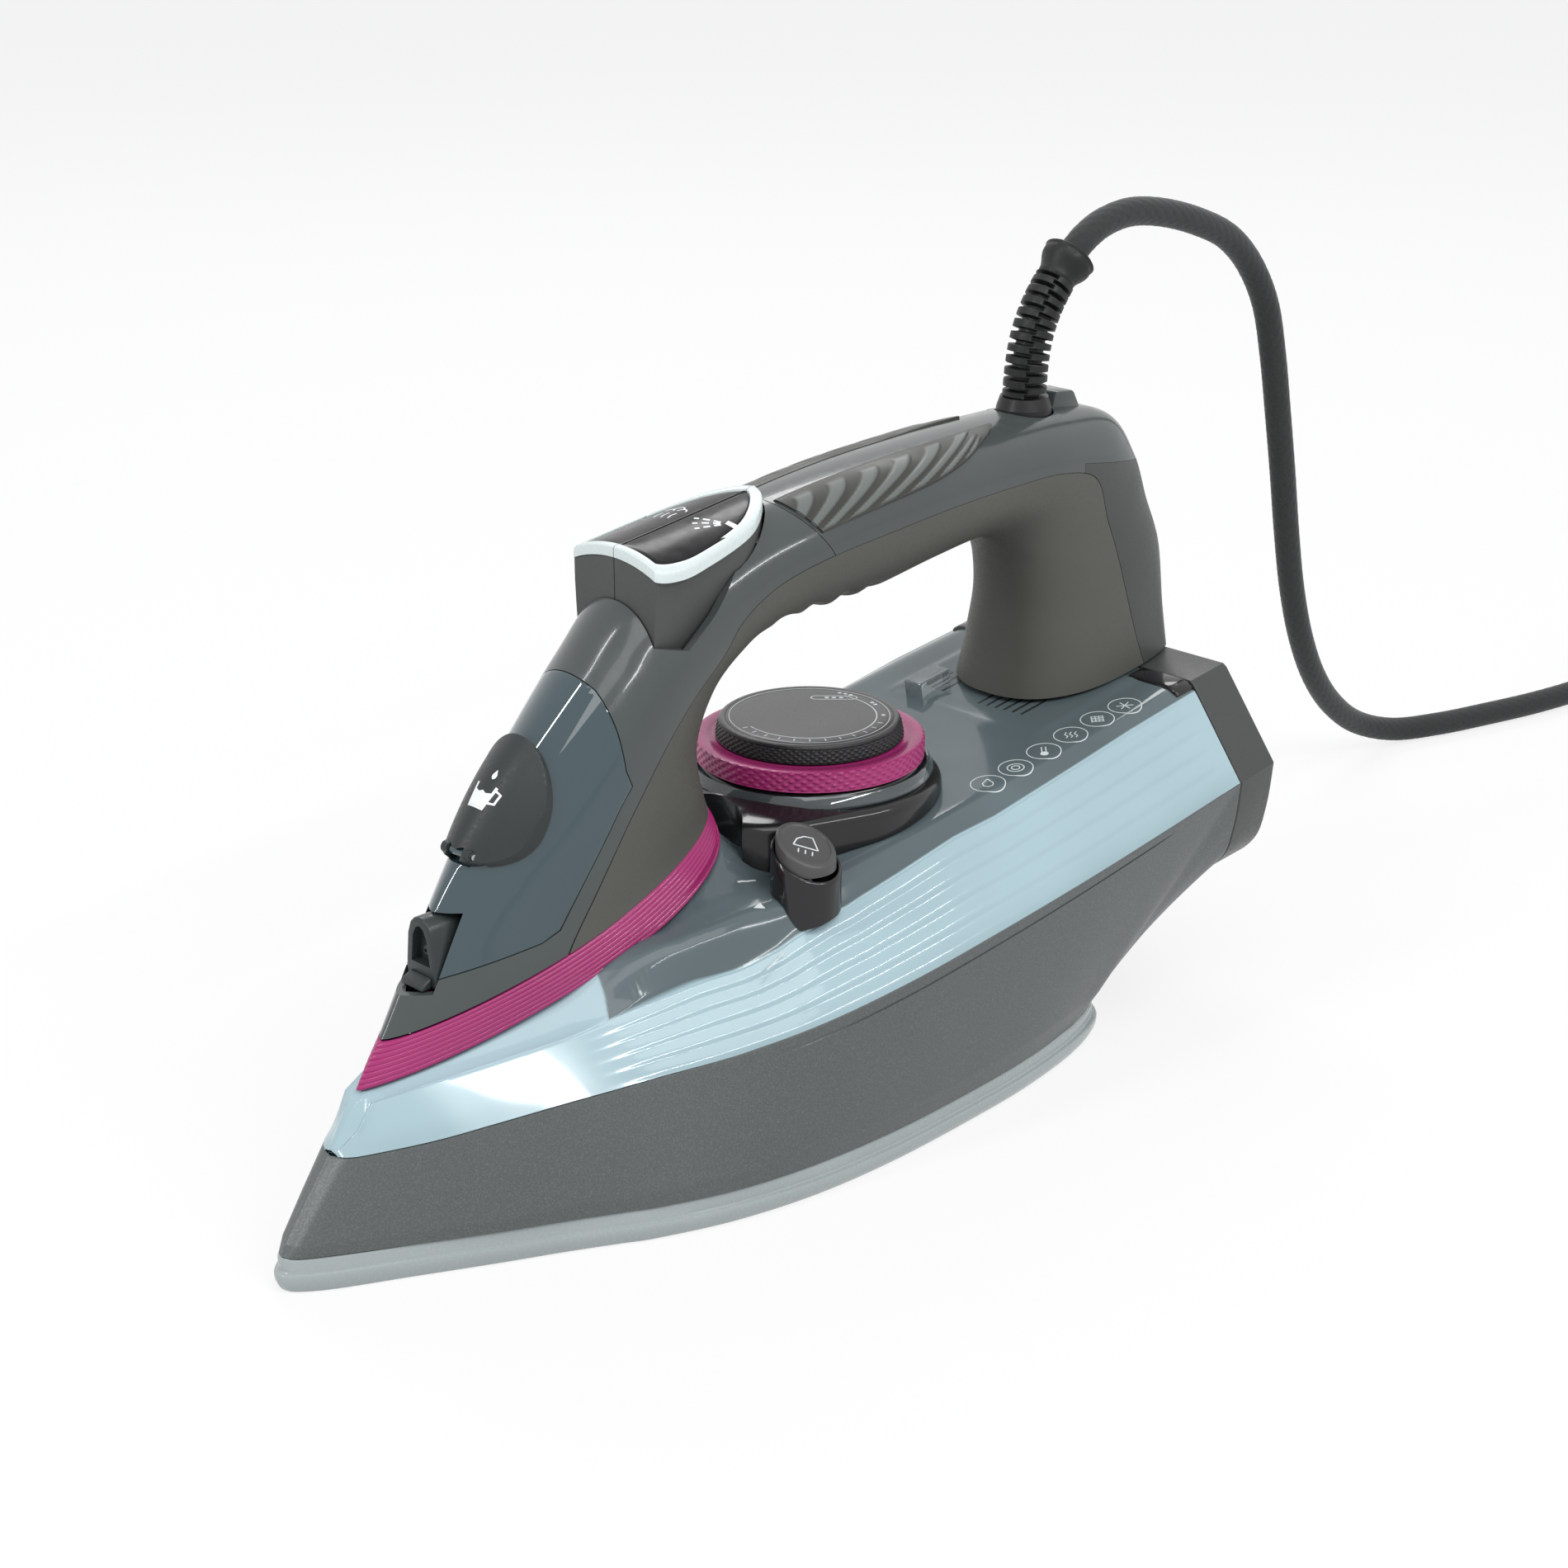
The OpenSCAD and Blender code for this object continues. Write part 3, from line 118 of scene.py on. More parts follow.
def spline(table, per):
    return [row_at(table, k / per) for k in range((len(table) - 1) * per + 1)]


def smooth(x, a=0.0, b=1.0):
    """0 before a, 1 after b, and smooth between."""
    s = np.clip((np.asarray(x, float) - a) / (b - a), 0, 1)
    return s * s * (3 - 2 * s)


def lookup(x, xs, ys):
    return float(np.interp(x, xs, ys))


def unit(v):
    n = np.linalg.norm(v, axis=-1, keepdims=True)
    return v / np.maximum(n, 1e-9)


def normals_of(g, closed=False):
    """Normals of a grid of points, row by row."""
    if closed:
        du = np.roll(g, -1, 0) - np.roll(g, 1, 0)
    else:
        du = np.gradient(g, axis=0)
    dv = np.gradient(g, axis=1)
    return unit(np.cross(du, dv))


def sheet_faces(m, n, closed=False):
    """Faces of a sheet of material between an outer and an inner grid of m rows by n points."""
    s, last, faces = m * n, m if closed else m - 1, []
    for i in range(last):
        a, b = i * n, ((i + 1) % m) * n
        for j in range(n - 1):
            faces.append((a + j, a + j + 1, b + j + 1, b + j))
            faces.append((s + a + j, s + b + j, s + b + j + 1, s + a + j + 1))
        faces.append((a, b, s + b, s + a))
        faces.append((a + n - 1, s + a + n - 1, s + b + n - 1, b + n - 1))
    if not closed:
        z = (m - 1) * n
        for j in range(n - 1):
            faces.append((j, s + j, s + j + 1, j + 1))
            faces.append((z + j, z + j + 1, s + z + j + 1, s + z + j))
    return faces


def stack_faces(m, n, caps=True):
    """Faces of a stack of m closed rings of n points, capped at both ends."""
    faces = [(i * n + j, (i + 1) * n + j, (i + 1) * n + (j + 1) % n, i * n + (j + 1) % n)
             for i in range(m - 1) for j in range(n)]
    if caps:
        faces += [tuple(range(n)), tuple((m - 1) * n + j for j in range(n - 1, -1, -1))]
    return faces


def refine(obj, sharp=32.0):
    """Consistent normals, smooth faces and hard edges only where the surface really turns."""
    bm = bmesh.new()
    bm.from_mesh(obj.data)
    bmesh.ops.remove_doubles(bm, verts=bm.verts, dist=1e-6)
    bmesh.ops.dissolve_degenerate(bm, edges=bm.edges, dist=1e-7)
    bmesh.ops.recalc_face_normals(bm, faces=bm.faces)
    limit = math.radians(sharp)
    for f in bm.faces:
        f.smooth = True
    for e in bm.edges:
        e.smooth = len(e.link_faces) == 2 and e.calc_face_angle(0.0) < limit
    bm.to_mesh(obj.data)
    bm.free()
    return obj


def linked(name, data):
    """A new object that holds the data, put in the scene."""
    obj = bpy.data.objects.new(name, data)
    bpy.context.scene.collection.objects.link(obj)
    return obj


def mesh_object(name, verts, faces):
    """A new object from points in millimetres."""
    me = bpy.data.meshes.new(name)
    me.from_pydata([tuple(p) for p in np.asarray(verts, float).reshape(-1, 3) * MM], [], faces)
    me.validate()
    return linked(name, me)


def settle(obj, material, body="root", replaces=(), sharp=32.0):
    """Finish a piece: shading, material, body, and the construction solids it stands for."""
    refine(obj, sharp)
    obj.data.materials.clear()
    obj.data.materials.append(material)
    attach(obj, body)
    if replaces:
        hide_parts(*replaces)
    return obj


def sheet_object(name, outer, inner, closed=False):
    m, n = outer.shape[:2]
    return mesh_object(name, np.concatenate([outer.reshape(-1, 3), inner.reshape(-1, 3)]),
                       sheet_faces(m, n, closed))


def stack_object(name, rings, caps=True):
    rings = np.asarray(rings, float)
    return mesh_object(name, rings.reshape(-1, 3), stack_faces(len(rings), rings.shape[1], caps))


def applied(obj):
    """Bake an object's modifiers into its mesh."""
    dg = bpy.context.evaluated_depsgraph_get()
    me = bpy.data.meshes.new_from_object(obj.evaluated_get(dg))
    obj.modifiers.clear()
    old, obj.data = obj.data, me
    bpy.data.meshes.remove(old)
    return obj


def carve(obj, *cutters, operation="DIFFERENCE"):
    """Cut an object with others, which are used up."""
    if not obj.get("carved"):
        refine(obj)
    obj["carved"] = 1
    for c in cutters:
        if not c.get("carved"):
            refine(c)
        mod = obj.modifiers.new("cut", "BOOLEAN")
        mod.operation = operation
        mod.solver = "MANIFOLD"
        mod.object = c
        applied(obj)
        bpy.data.objects.remove(c)
    return obj


def softened(obj, width, segments=2, angle=30.0):
    """Round an object's hard edges with a bevel."""
    refine(obj)
    mod = obj.modifiers.new("bevel", "BEVEL")
    mod.width = width * MM
    mod.segments = segments
    mod.limit_method = "ANGLE"
    mod.angle_limit = math.radians(angle)
    mod.harden_normals = False
    return applied(obj)


def joined(objs, name):
    """Several meshes as one object."""
    bm = bmesh.new()
    for o in objs:
        tmp = o.data.copy()
        tmp.transform(o.matrix_world)
        bm.from_mesh(tmp)
        bpy.data.meshes.remove(tmp)
        bpy.data.objects.remove(o)
    me = bpy.data.meshes.new(name)
    bm.to_mesh(me)
    bm.free()
    return linked(name, me)


def block(low, high):
    (x0, y0, z0), (x1, y1, z1) = low, high
    return stack_object("block", [[(x0, y0, z), (x1, y0, z), (x1, y1, z), (x0, y1, z)]
                                  for z in (z0, z1)])


def prism_across(name, outline, half):
    """An extrusion across the iron of an outline in side view."""
    a = [(x, -half, z) for x, z in outline]
    b = [(x, half, z) for x, z in outline]
    return stack_object(name, [a, b])


def polar(r, degrees):
    return r * math.cos(math.radians(degrees)), r * math.sin(math.radians(degrees))


def circle(r, steps):
    return [(r * math.cos(2 * math.pi * k / steps), r * math.sin(2 * math.pi * k / steps))
            for k in range(steps)]


def rod_across(run, r):
    """A rod across the iron, centred on the origin."""
    return stack_object("rod", [[(x, y, z) for x, z in circle(r, 48)] for y in (-run / 2, run / 2)])


def turned(name, profile, at=(0, 0), steps=128, wave=None):
    """A revolved profile of (radius, height) points round an upright axis."""
    rings = []
    for k, (r, z) in enumerate(profile):
        ring = []
        for j in range(steps):
            a = 2 * math.pi * j / steps
            q = r + (wave(k, a, r, z) if wave else 0)
            ring.append((at[0] + q * math.cos(a), at[1] + q * math.sin(a), z))
        rings.append(ring)
    return stack_object(name, rings)


def frames_along(path):
    """Points, side and up directions along a path, with little twist."""
    p = np.asarray(path, float)
    d = unit(np.gradient(p, axis=0))
    side = np.cross(d[0], (0.0, 1.0, 0.0))
    if np.linalg.norm(side) < 0.3:
        side = np.cross(d[0], (1.0, 0.0, 0.0))
    sides, ups = [], []
    for t in d:
        side = side - t * np.dot(side, t)
        side = side / np.linalg.norm(side)
        sides.append(side)
        ups.append(np.cross(t, side))
    return p, np.array(sides), np.array(ups)


def swept(name, path, radius, steps=24, wave=None):
    """A round bar along a path; radius is one number or one for each point."""
    p, u, v = frames_along(path)
    r = np.broadcast_to(np.asarray(radius, float), (len(p),))
    a = np.arange(steps) * 2 * math.pi / steps
    rr = r[:, None] + (wave(len(p), a) if wave is not None else 0.0)
    ring = p[:, None] + rr[..., None] * (np.cos(a)[None, :, None] * u[:, None]
                                         + np.sin(a)[None, :, None] * v[:, None])
    return stack_object(name, ring)


def even_path(points, step):
    """A dense spline through listed points, resampled to even steps."""
    p = np.array(spline(points, 24))
    s = np.concatenate([[0], np.cumsum(np.linalg.norm(np.diff(p, axis=0), axis=1))])
    t = np.linspace(0, s[-1], max(int(round(s[-1] / step)), 2) + 1)
    return np.stack([np.interp(t, s, p[:, k]) for k in range(3)], 1)


def surface_tree(grid):
    """A search tree over one grid of points, in millimetres."""
    m, n = grid.shape[:2]
    faces = [(i * n + j, i * n + j + 1, (i + 1) * n + j + 1, (i + 1) * n + j)
             for i in range(m - 1) for j in range(n - 1)]
    return BVHTree.FromPolygons([tuple(p) for p in grid.reshape(-1, 3)], faces)


def printed(name, shapes, place, material, body="root", thick=None):
    """Thin printed marks from closed outlines in millimetres; place maps (u, v, lift) to space."""
    thick = (thick or sizes().mark) / MM
    bm = bmesh.new()
    for outline in shapes:
        tris = tessellate_polygon([[Vector((u, v, 0)) for u, v in outline]])
        tmp = bmesh.new()
        vs = [tmp.verts.new((u, v, 0)) for u, v in outline]
        for t in tris:
            try:
                tmp.faces.new([vs[i] for i in t])
            except ValueError:
                pass
        for _ in range(3):
            long_edges = [e for e in tmp.edges if e.calc_length() > 1.6]
            if long_edges:
                bmesh.ops.subdivide_edges(tmp, edges=long_edges, cuts=1, use_grid_fill=False)
                bmesh.ops.triangulate(tmp, faces=tmp.faces)
        tmp.verts.index_update()
        top = [bm.verts.new(tuple(x * MM for x in place(v.co.x, v.co.y, thick))) for v in tmp.verts]
        low = [bm.verts.new(tuple(x * MM for x in place(v.co.x, v.co.y, -0.02))) for v in tmp.verts]
        for f in tmp.faces:
            idx = [v.index for v in f.verts]
            bm.faces.new([top[i] for i in idx])
            bm.faces.new([low[i] for i in reversed(idx)])
        for e in tmp.edges:
            if len(e.link_faces) == 1:
                a, b = (v.index for v in e.verts)
                bm.faces.new([top[a], top[b], low[b], low[a]])
        tmp.free()
    me = bpy.data.meshes.new(name)
    bm.to_mesh(me)
    bm.free()
    return settle(linked(name, me), material, body, sharp=60)


def stroke(points, width, closed=False):
    """The outlines of a drawn line of even width, one four-sided shape for each stretch."""
    p = [np.array(q, float) for q in points]
    if closed:
        p = p + [p[0], p[1]]
    sides = []
    for i in range(len(p)):
        d = unit(p[min(i + 1, len(p) - 1)] - p[max(i - 1, 0)])
        sides.append(np.array([-d[1], d[0]]) * width / 2)
    last = len(p) - 2 if closed else len(p) - 1
    return [[tuple(p[i] + sides[i]), tuple(p[i] - sides[i]), tuple(p[i + 1] - sides[i + 1]),
             tuple(p[i + 1] + sides[i + 1])] for i in range(last)]


def ring_line(cx, cy, r, width, a0=0.0, a1=360.0, steps=48):
    arc = [polar(r, a0 + (a1 - a0) * k / steps) for k in range(steps + 1)]
    return stroke([(cx + x, cy + y) for x, y in arc], width)


def disc(cx, cy, r, steps=20):
    return [[(cx + x, cy + y) for x, y in circle(r, steps)]]


# ---------------------------------------------------------------- form of the body and handle
NOSE_X, BODY_L = -123.5, 298.0
HEEL_X = NOSE_X + BODY_L
COVER_X = HEEL_X - 16
TANK_NOSE_X = NOSE_X + 16.3
TANK_L = COVER_X - TANK_NOSE_X
TANK_W, SKIRT_NOSE_Z, SKIRT_RISE, SIDE_H = 120.0, 29.4, 36.3, 22.6
SOLE_L, SOLE_W = 250.0, 117.0
WALL = 2.0

SOLE_LINE = [[0, 0], [0.006, 0.055], [0.035, 0.145], [0.097, 0.283], [0.172, 0.452], [0.232, 0.58],
             [0.28, 0.69], [0.314, 0.768], [0.392, 0.893], [0.487, 0.975], [0.6, 1], [0.734, 0.975],
             [0.81, 0.945], [0.89, 0.885], [0.945, 0.81], [0.977, 0.72], [0.995, 0.56], [1, 0.3],
             [1, 0]]
SKIRT_LINE = [[0, 0], [0.008, 0.06], [0.034, 0.13], [0.1, 0.283], [0.18, 0.46], [0.245, 0.59],
              [0.297, 0.7], [0.335, 0.78], [0.415, 0.9], [0.515, 0.975], [0.635, 1], [0.775, 0.975],
              [0.86, 0.94], [0.93, 0.885], [0.965, 0.84], [0.99, 0.7], [1, 0.35], [1, 0]]
TANK_LINE = [[0, 0], [0.007, 0.075], [0.024, 0.137], [0.072, 0.267], [0.12, 0.365], [0.179, 0.48],
             [0.22, 0.565], [0.26, 0.643], [0.33, 0.785], [0.41, 0.893], [0.507, 0.957],
             [0.614, 0.985], [0.75, 1], [0.88, 0.997], [1, 0.987]]
CREASE = [[0, 0.46, 0.02], [0.2, 0.53, 0.375], [0.28, 0.61, 0.49], [0.36, 0.72, 0.61],
          [0.43, 0.83, 0.67], [0.5, 0.92, 0.69], [0.6, 0.97, 0.707], [0.75, 1, 0.715],
          [0.9, 1, 0.715], [1, 1, 0.705]]
COVER_LOW = [[1, 1], [0.975, 0.81], [0.915, 0.645], [0.75, 0.545], [0.35, 0.52], [0, 0.515]]

# Outer and inner edge of the handle in side view, each as distance behind the nose tip and height
# above the crease, then half width, its place between the edges, half width of the back,
# roundness, bow, seam
STATIONS = np.array([
    [25, -10.4, 134, 13.6, 21, 0.71, 0, 1.32, 4.6, 0.43],
    [32.8, -0.7, 132.7, 19, 18.7, 0.55, 0, 1.47, 1.1, 0.43],
    [41.2, 12.3, 130, 28, 18.2, 0.54, 0, 1.5, 1, 0.49],
    [49.5, 24.2, 128.8, 35.3, 18, 0.53, 0, 1.55, 0.6, 0.55],
    [57.1, 33.9, 129.5, 41.2, 17.8, 0.51, 0, 1.6, 0.4, 0.6],
    [68.2, 45.5, 132.5, 47.8, 17.7, 0.49, 0, 1.7, 0, 0.638],
    [79.6, 56.1, 137.5, 53.6, 17.7, 0.47, 0, 1.8, 0, 0.66],
    [93.8, 68.2, 145.5, 57.5, 18, 0.45, 0, 1.9, 0, 0.64],
    [108.3, 79.6, 154.5, 58.3, 18, 0.43, 0, 2, 0, 0.54],
    [128.5, 85.4, 164.5, 56.9, 18, 0.4, 0, 2, 0, 0.445],
    [150.5, 88.6, 175.5, 55.2, 18.5, 0.38, 0, 2, 0, 0.43],
    [178.5, 88.4, 189.5, 54.3, 19, 0.37, 0, 2, 0, 0.435],
    [208.5, 86, 207.5, 54.5, 19, 0.37, 0, 2, 0, 0.44],
    [238.5, 82.5, 224.5, 54.2, 19, 0.37, 0, 2, 0, 0.45],
    [263.5, 78.6, 232.5, 52.6, 19, 0.4, 0, 2, 0, 0.44],
    [282.5, 72, 237.5, 50.4, 18.5, 0.42, 4, 2, -2, 0.42],
    [289, 60.3, 241.5, 47.3, 18.5, 0.42, 9.5, 2, -6, 0.45],
    [293.2, 46.7, 245.5, 40.3, 19.5, 0.45, 11.5, 2, -4.5, 0.45],
    [297.4, 32.7, 247.5, 28, 21, 0.45, 13.5, 2, -2, 0.45],
    [298, 15.1, 246, 15.2, 22.5, 0.45, 15.8, 2, 0, 0.37],
    [298, 2.6, 243, 4, 23.5, 0.45, 18.5, 2, 0, 0.27]])
BAND_ROW, SHELL_ROW, COLLAR_ROW, FOOT_ROW = 0, 1, 10.15, len(STATIONS) - 1
INNER_ROUND = 2.4


def parting_z(x):
    return SKIRT_NOSE_Z + SKIRT_RISE * (x - TANK_NOSE_X) / TANK_L


def crease_z(x):
    return parting_z(x) + SIDE_H


def deck_z(x):
    return crease_z(x) + 2


def half_width(r, f):
    fm, w, w0 = r[5], r[4], r[6]
    if f < fm:
        return w0 + (w - w0) * max(1 - (1 - f / fm) ** r[7], 0) ** (1 / r[7])
    return w * max(1 - ((f - fm) / (1 - fm)) ** INNER_ROUND, 0) ** (1 / INNER_ROUND)


def section_point(r, f, side):
    """A point of a handle section at a share f of the way from its outer to its inner edge."""
    ends = []
    for a, h in ((r[0], r[1]), (r[2], r[3])):
        x = NOSE_X + a
        ends.append(np.array([x, crease_z(x) + h]))
    d = ends[1] - ends[0]
    q = ends[0] + f * d + 4 * f * (1 - f) * r[8] * unit(np.array([d[1], -d[0]]))
    return np.array([q[0], side * half_width(r, f), q[1]])


def handle_point(t, f, side):
    return section_point(row_at(STATIONS, t), f, side)


def shell_grid(r0, r1, m, n, gap=0.0, under=False):
    """Grid from seam to seam, over the outer edge or under the inner one."""
    rows, side = [], 1 if under else -1
    for k in range(m + 1):
        r = row_at(STATIONS, r0 + (r1 - r0) * k / m)
        reach = (1 - r[9] if under else r[9]) - gap
        f = [reach * (j / n) ** 1.9 for j in range(n + 1)]
        if under:
            f = [1 - q for q in f]
        rows.append([section_point(r, q, side) for q in f[:0:-1]]
                    + [section_point(r, q, -side) for q in f])
    return np.array(rows)


def ring_at(t, n):
    """A whole ring round a handle section."""
    r = row_at(STATIONS, t)
    f = [r[5] * (k / n) ** 1.7 for k in range(n + 1)]
    f += [r[5] + (1 - r[5]) * (1 - (1 - k / n) ** 1.7) for k in range(1, n + 1)]
    return np.array([section_point(r, q, 1) for q in f]
                    + [section_point(r, q, -1) for q in f[-2:0:-1]])


# ---------------------------------------------------------------- finishes
def add_node(tree, kind, **values):
    """A new shader node with its inputs set."""
    return set_inputs(tree.nodes.new("ShaderNode" + kind), **values)


def set_inputs(node, **values):
    """Set a node's inputs; an underscore stands for a space in their names."""
    for name, value in values.items():
        node.inputs[name.replace("_", " ")].default_value = value
    return node


def finish_node(name):
    """A new material with its output and main shader."""
    mat = bpy.data.materials.get(name) or bpy.data.materials.new(name)
    mat.use_nodes = True
    tree = mat.node_tree
    tree.nodes.clear()
    out, shader = add_node(tree, "OutputMaterial"), add_node(tree, "BsdfPrincipled")
    tree.links.new(shader.outputs["BSDF"], out.inputs["Surface"])
    return mat, tree, shader


def noise(tree, scale, detail=2.0, stretch=None):
    """Noise over object coordinates, in metres."""
    place = add_node(tree, "TexCoord").outputs["Object"]
    tex = add_node(tree, "TexNoise", Scale=scale, Detail=detail)
    if stretch:
        mapping = add_node(tree, "Mapping", Scale=stretch)
        tree.links.new(place, mapping.inputs["Vector"])
        place = mapping.outputs["Vector"]
    tree.links.new(place, tex.inputs["Vector"])
    return tex.outputs["Fac"]


def spread(tree, source, low, high, from_low=0.3, from_high=0.7):
    """A number from a noise, kept between low and high."""
    node = add_node(tree, "MapRange", From_Min=from_low, From_Max=from_high, To_Min=low,
                    To_Max=high)
    tree.links.new(source, node.inputs["Value"])
    return node.outputs["Result"]


def mixed(tree, factor, a, b):
    """A colour between two colours or sockets."""
    node = add_node(tree, "Mix")
    node.data_type = "RGBA"
    tree.links.new(factor, node.inputs["Factor"])
    for socket, value in ((node.inputs["A"], a), (node.inputs["B"], b)):
        if isinstance(value, bpy.types.NodeSocket):
            tree.links.new(value, socket)
        else:
            socket.default_value = (*value, 1.0)
    return node.outputs["Result"]


def coloured(tree, shader, cloud, a, b):
    """Base colour that drifts between two colours with a noise."""
    tree.links.new(mixed(tree, spread(tree, cloud, 0, 1), a, b), shader.inputs["Base Color"])


def roughened(tree, shader, source, low, high):
    tree.links.new(spread(tree, source, low, high), shader.inputs["Roughness"])


def bumped(tree, shader, source, height, strength=0.3):
    """Fine relief in a finish, from a noise."""
    node = add_node(tree, "Bump", Distance=height, Strength=strength)
    tree.links.new(source, node.inputs["Height"])
    tree.links.new(node.outputs["Normal"], shader.inputs["Normal"])


def shade(colour, k):
    return tuple(min(c * k, 1.0) for c in colour)


def moulded(name, colour, rough, coat=0.0, grain=900.0, grain_height=0.00004, mottled=0.06,
            metal=0.0, rough_swing=0.25, spec=0.35):
    """Moulded plastic: slight mottling, fine grain and uneven roughness."""
    mat, tree, shader = finish_node(name)
    cloud = noise(tree, 35.0, 3.0)
    coloured(tree, shader, cloud, shade(colour, 1 - mottled), shade(colour, 1 + mottled))
    fine = noise(tree, grain, 2.0)
    roughened(tree, shader, fine, rough * (1 - rough_swing), rough * (1 + rough_swing))
    set_inputs(shader, Metallic=metal, Specular_IOR_Level=spec)
    if coat:
        set_inputs(shader, Coat_Weight=coat, Coat_Roughness=0.04)
    if grain_height:
        bumped(tree, shader, fine, grain_height, 0.25)
    return mat


def flake_paint(name, colour, fleck):
    """Satin paint with very fine metal flakes."""
    mat, tree, shader = finish_node(name)
    flakes = noise(tree, 2600.0, 1.0)
    cloud = noise(tree, 18.0, 2.0)
    base = mixed(tree, spread(tree, cloud, 0, 1), shade(colour, 0.96), shade(colour, 1.03))
    speckled = mixed(tree, spread(tree, flakes, 0, 1, 0.45, 0.8), base, fleck)
    tree.links.new(speckled, shader.inputs["Base Color"])
    roughened(tree, shader, flakes, 0.42, 0.34)
    set_inputs(shader, Metallic=0.2)
    bumped(tree, shader, flakes, 0.00001, 0.2)
    return mat


def toned_clear(name, dark, pale, rough=0.12, coat=0.15, spec=0.3):
    """Glossy skin whose tone follows the piece's own tone attribute from dark to pale."""
    mat, tree, shader = finish_node(name)
    tone = add_node(tree, "Attribute")
    tone.attribute_name = "tone"
    cloud = noise(tree, 22.0, 2.0)
    a = mixed(tree, spread(tree, cloud, 0, 1), shade(dark, 0.9), shade(dark, 1.1))
    b = mixed(tree, spread(tree, cloud, 0, 1), shade(pale, 0.96), shade(pale, 1.03))
    tree.links.new(mixed(tree, tone.outputs["Fac"], a, b), shader.inputs["Base Color"])
    roughened(tree, shader, noise(tree, 60.0), rough * 0.8, rough * 1.3)
    set_inputs(shader, Specular_IOR_Level=spec, Coat_Weight=coat, Coat_Roughness=0.03)
    return mat


def see_through(name, colour, rough=0.05, clear=0.9, coat=0.4):
    """Clear or tinted plastic with faint flow lines."""
    mat, tree, shader = finish_node(name)
    flow = noise(tree, 12.0, 1.0, (1.0, 3.0, 3.0))
    coloured(tree, shader, flow, shade(colour, 0.95), shade(colour, 1.04))
    roughened(tree, shader, flow, rough * 0.9, rough * 1.1)
    set_inputs(shader, Transmission_Weight=clear, Coat_Weight=coat, Coat_Roughness=0.02)
    return mat


def metal(name, colour, rough, stretch=(1.0, 1.0, 1.0), grain=600.0):
    """Bare or plated metal with drawn or cast grain."""
    mat, tree, shader = finish_node(name)
    grainy = noise(tree, grain, 3.0, stretch)
    coloured(tree, shader, grainy, shade(colour, 0.85), shade(colour, 1.1))
    roughened(tree, shader, grainy, rough * 0.75, rough * 1.3)
    set_inputs(shader, Metallic=1.0)
    bumped(tree, shader, grainy, 0.00004, 0.3)
    return mat


def braided(name, colour):
    """Dull yarn with paler flecks."""
    mat, tree, shader = finish_node(name)
    yarn = noise(tree, 1800.0, 2.0)
    coloured(tree, shader, yarn, shade(colour, 0.5), shade(colour, 2.2))
    roughened(tree, shader, yarn, 0.75, 0.95)
    set_inputs(shader, Sheen_Weight=0.25, Sheen_Roughness=0.4)
    bumped(tree, shader, yarn, 0.0001, 0.4)
    return mat


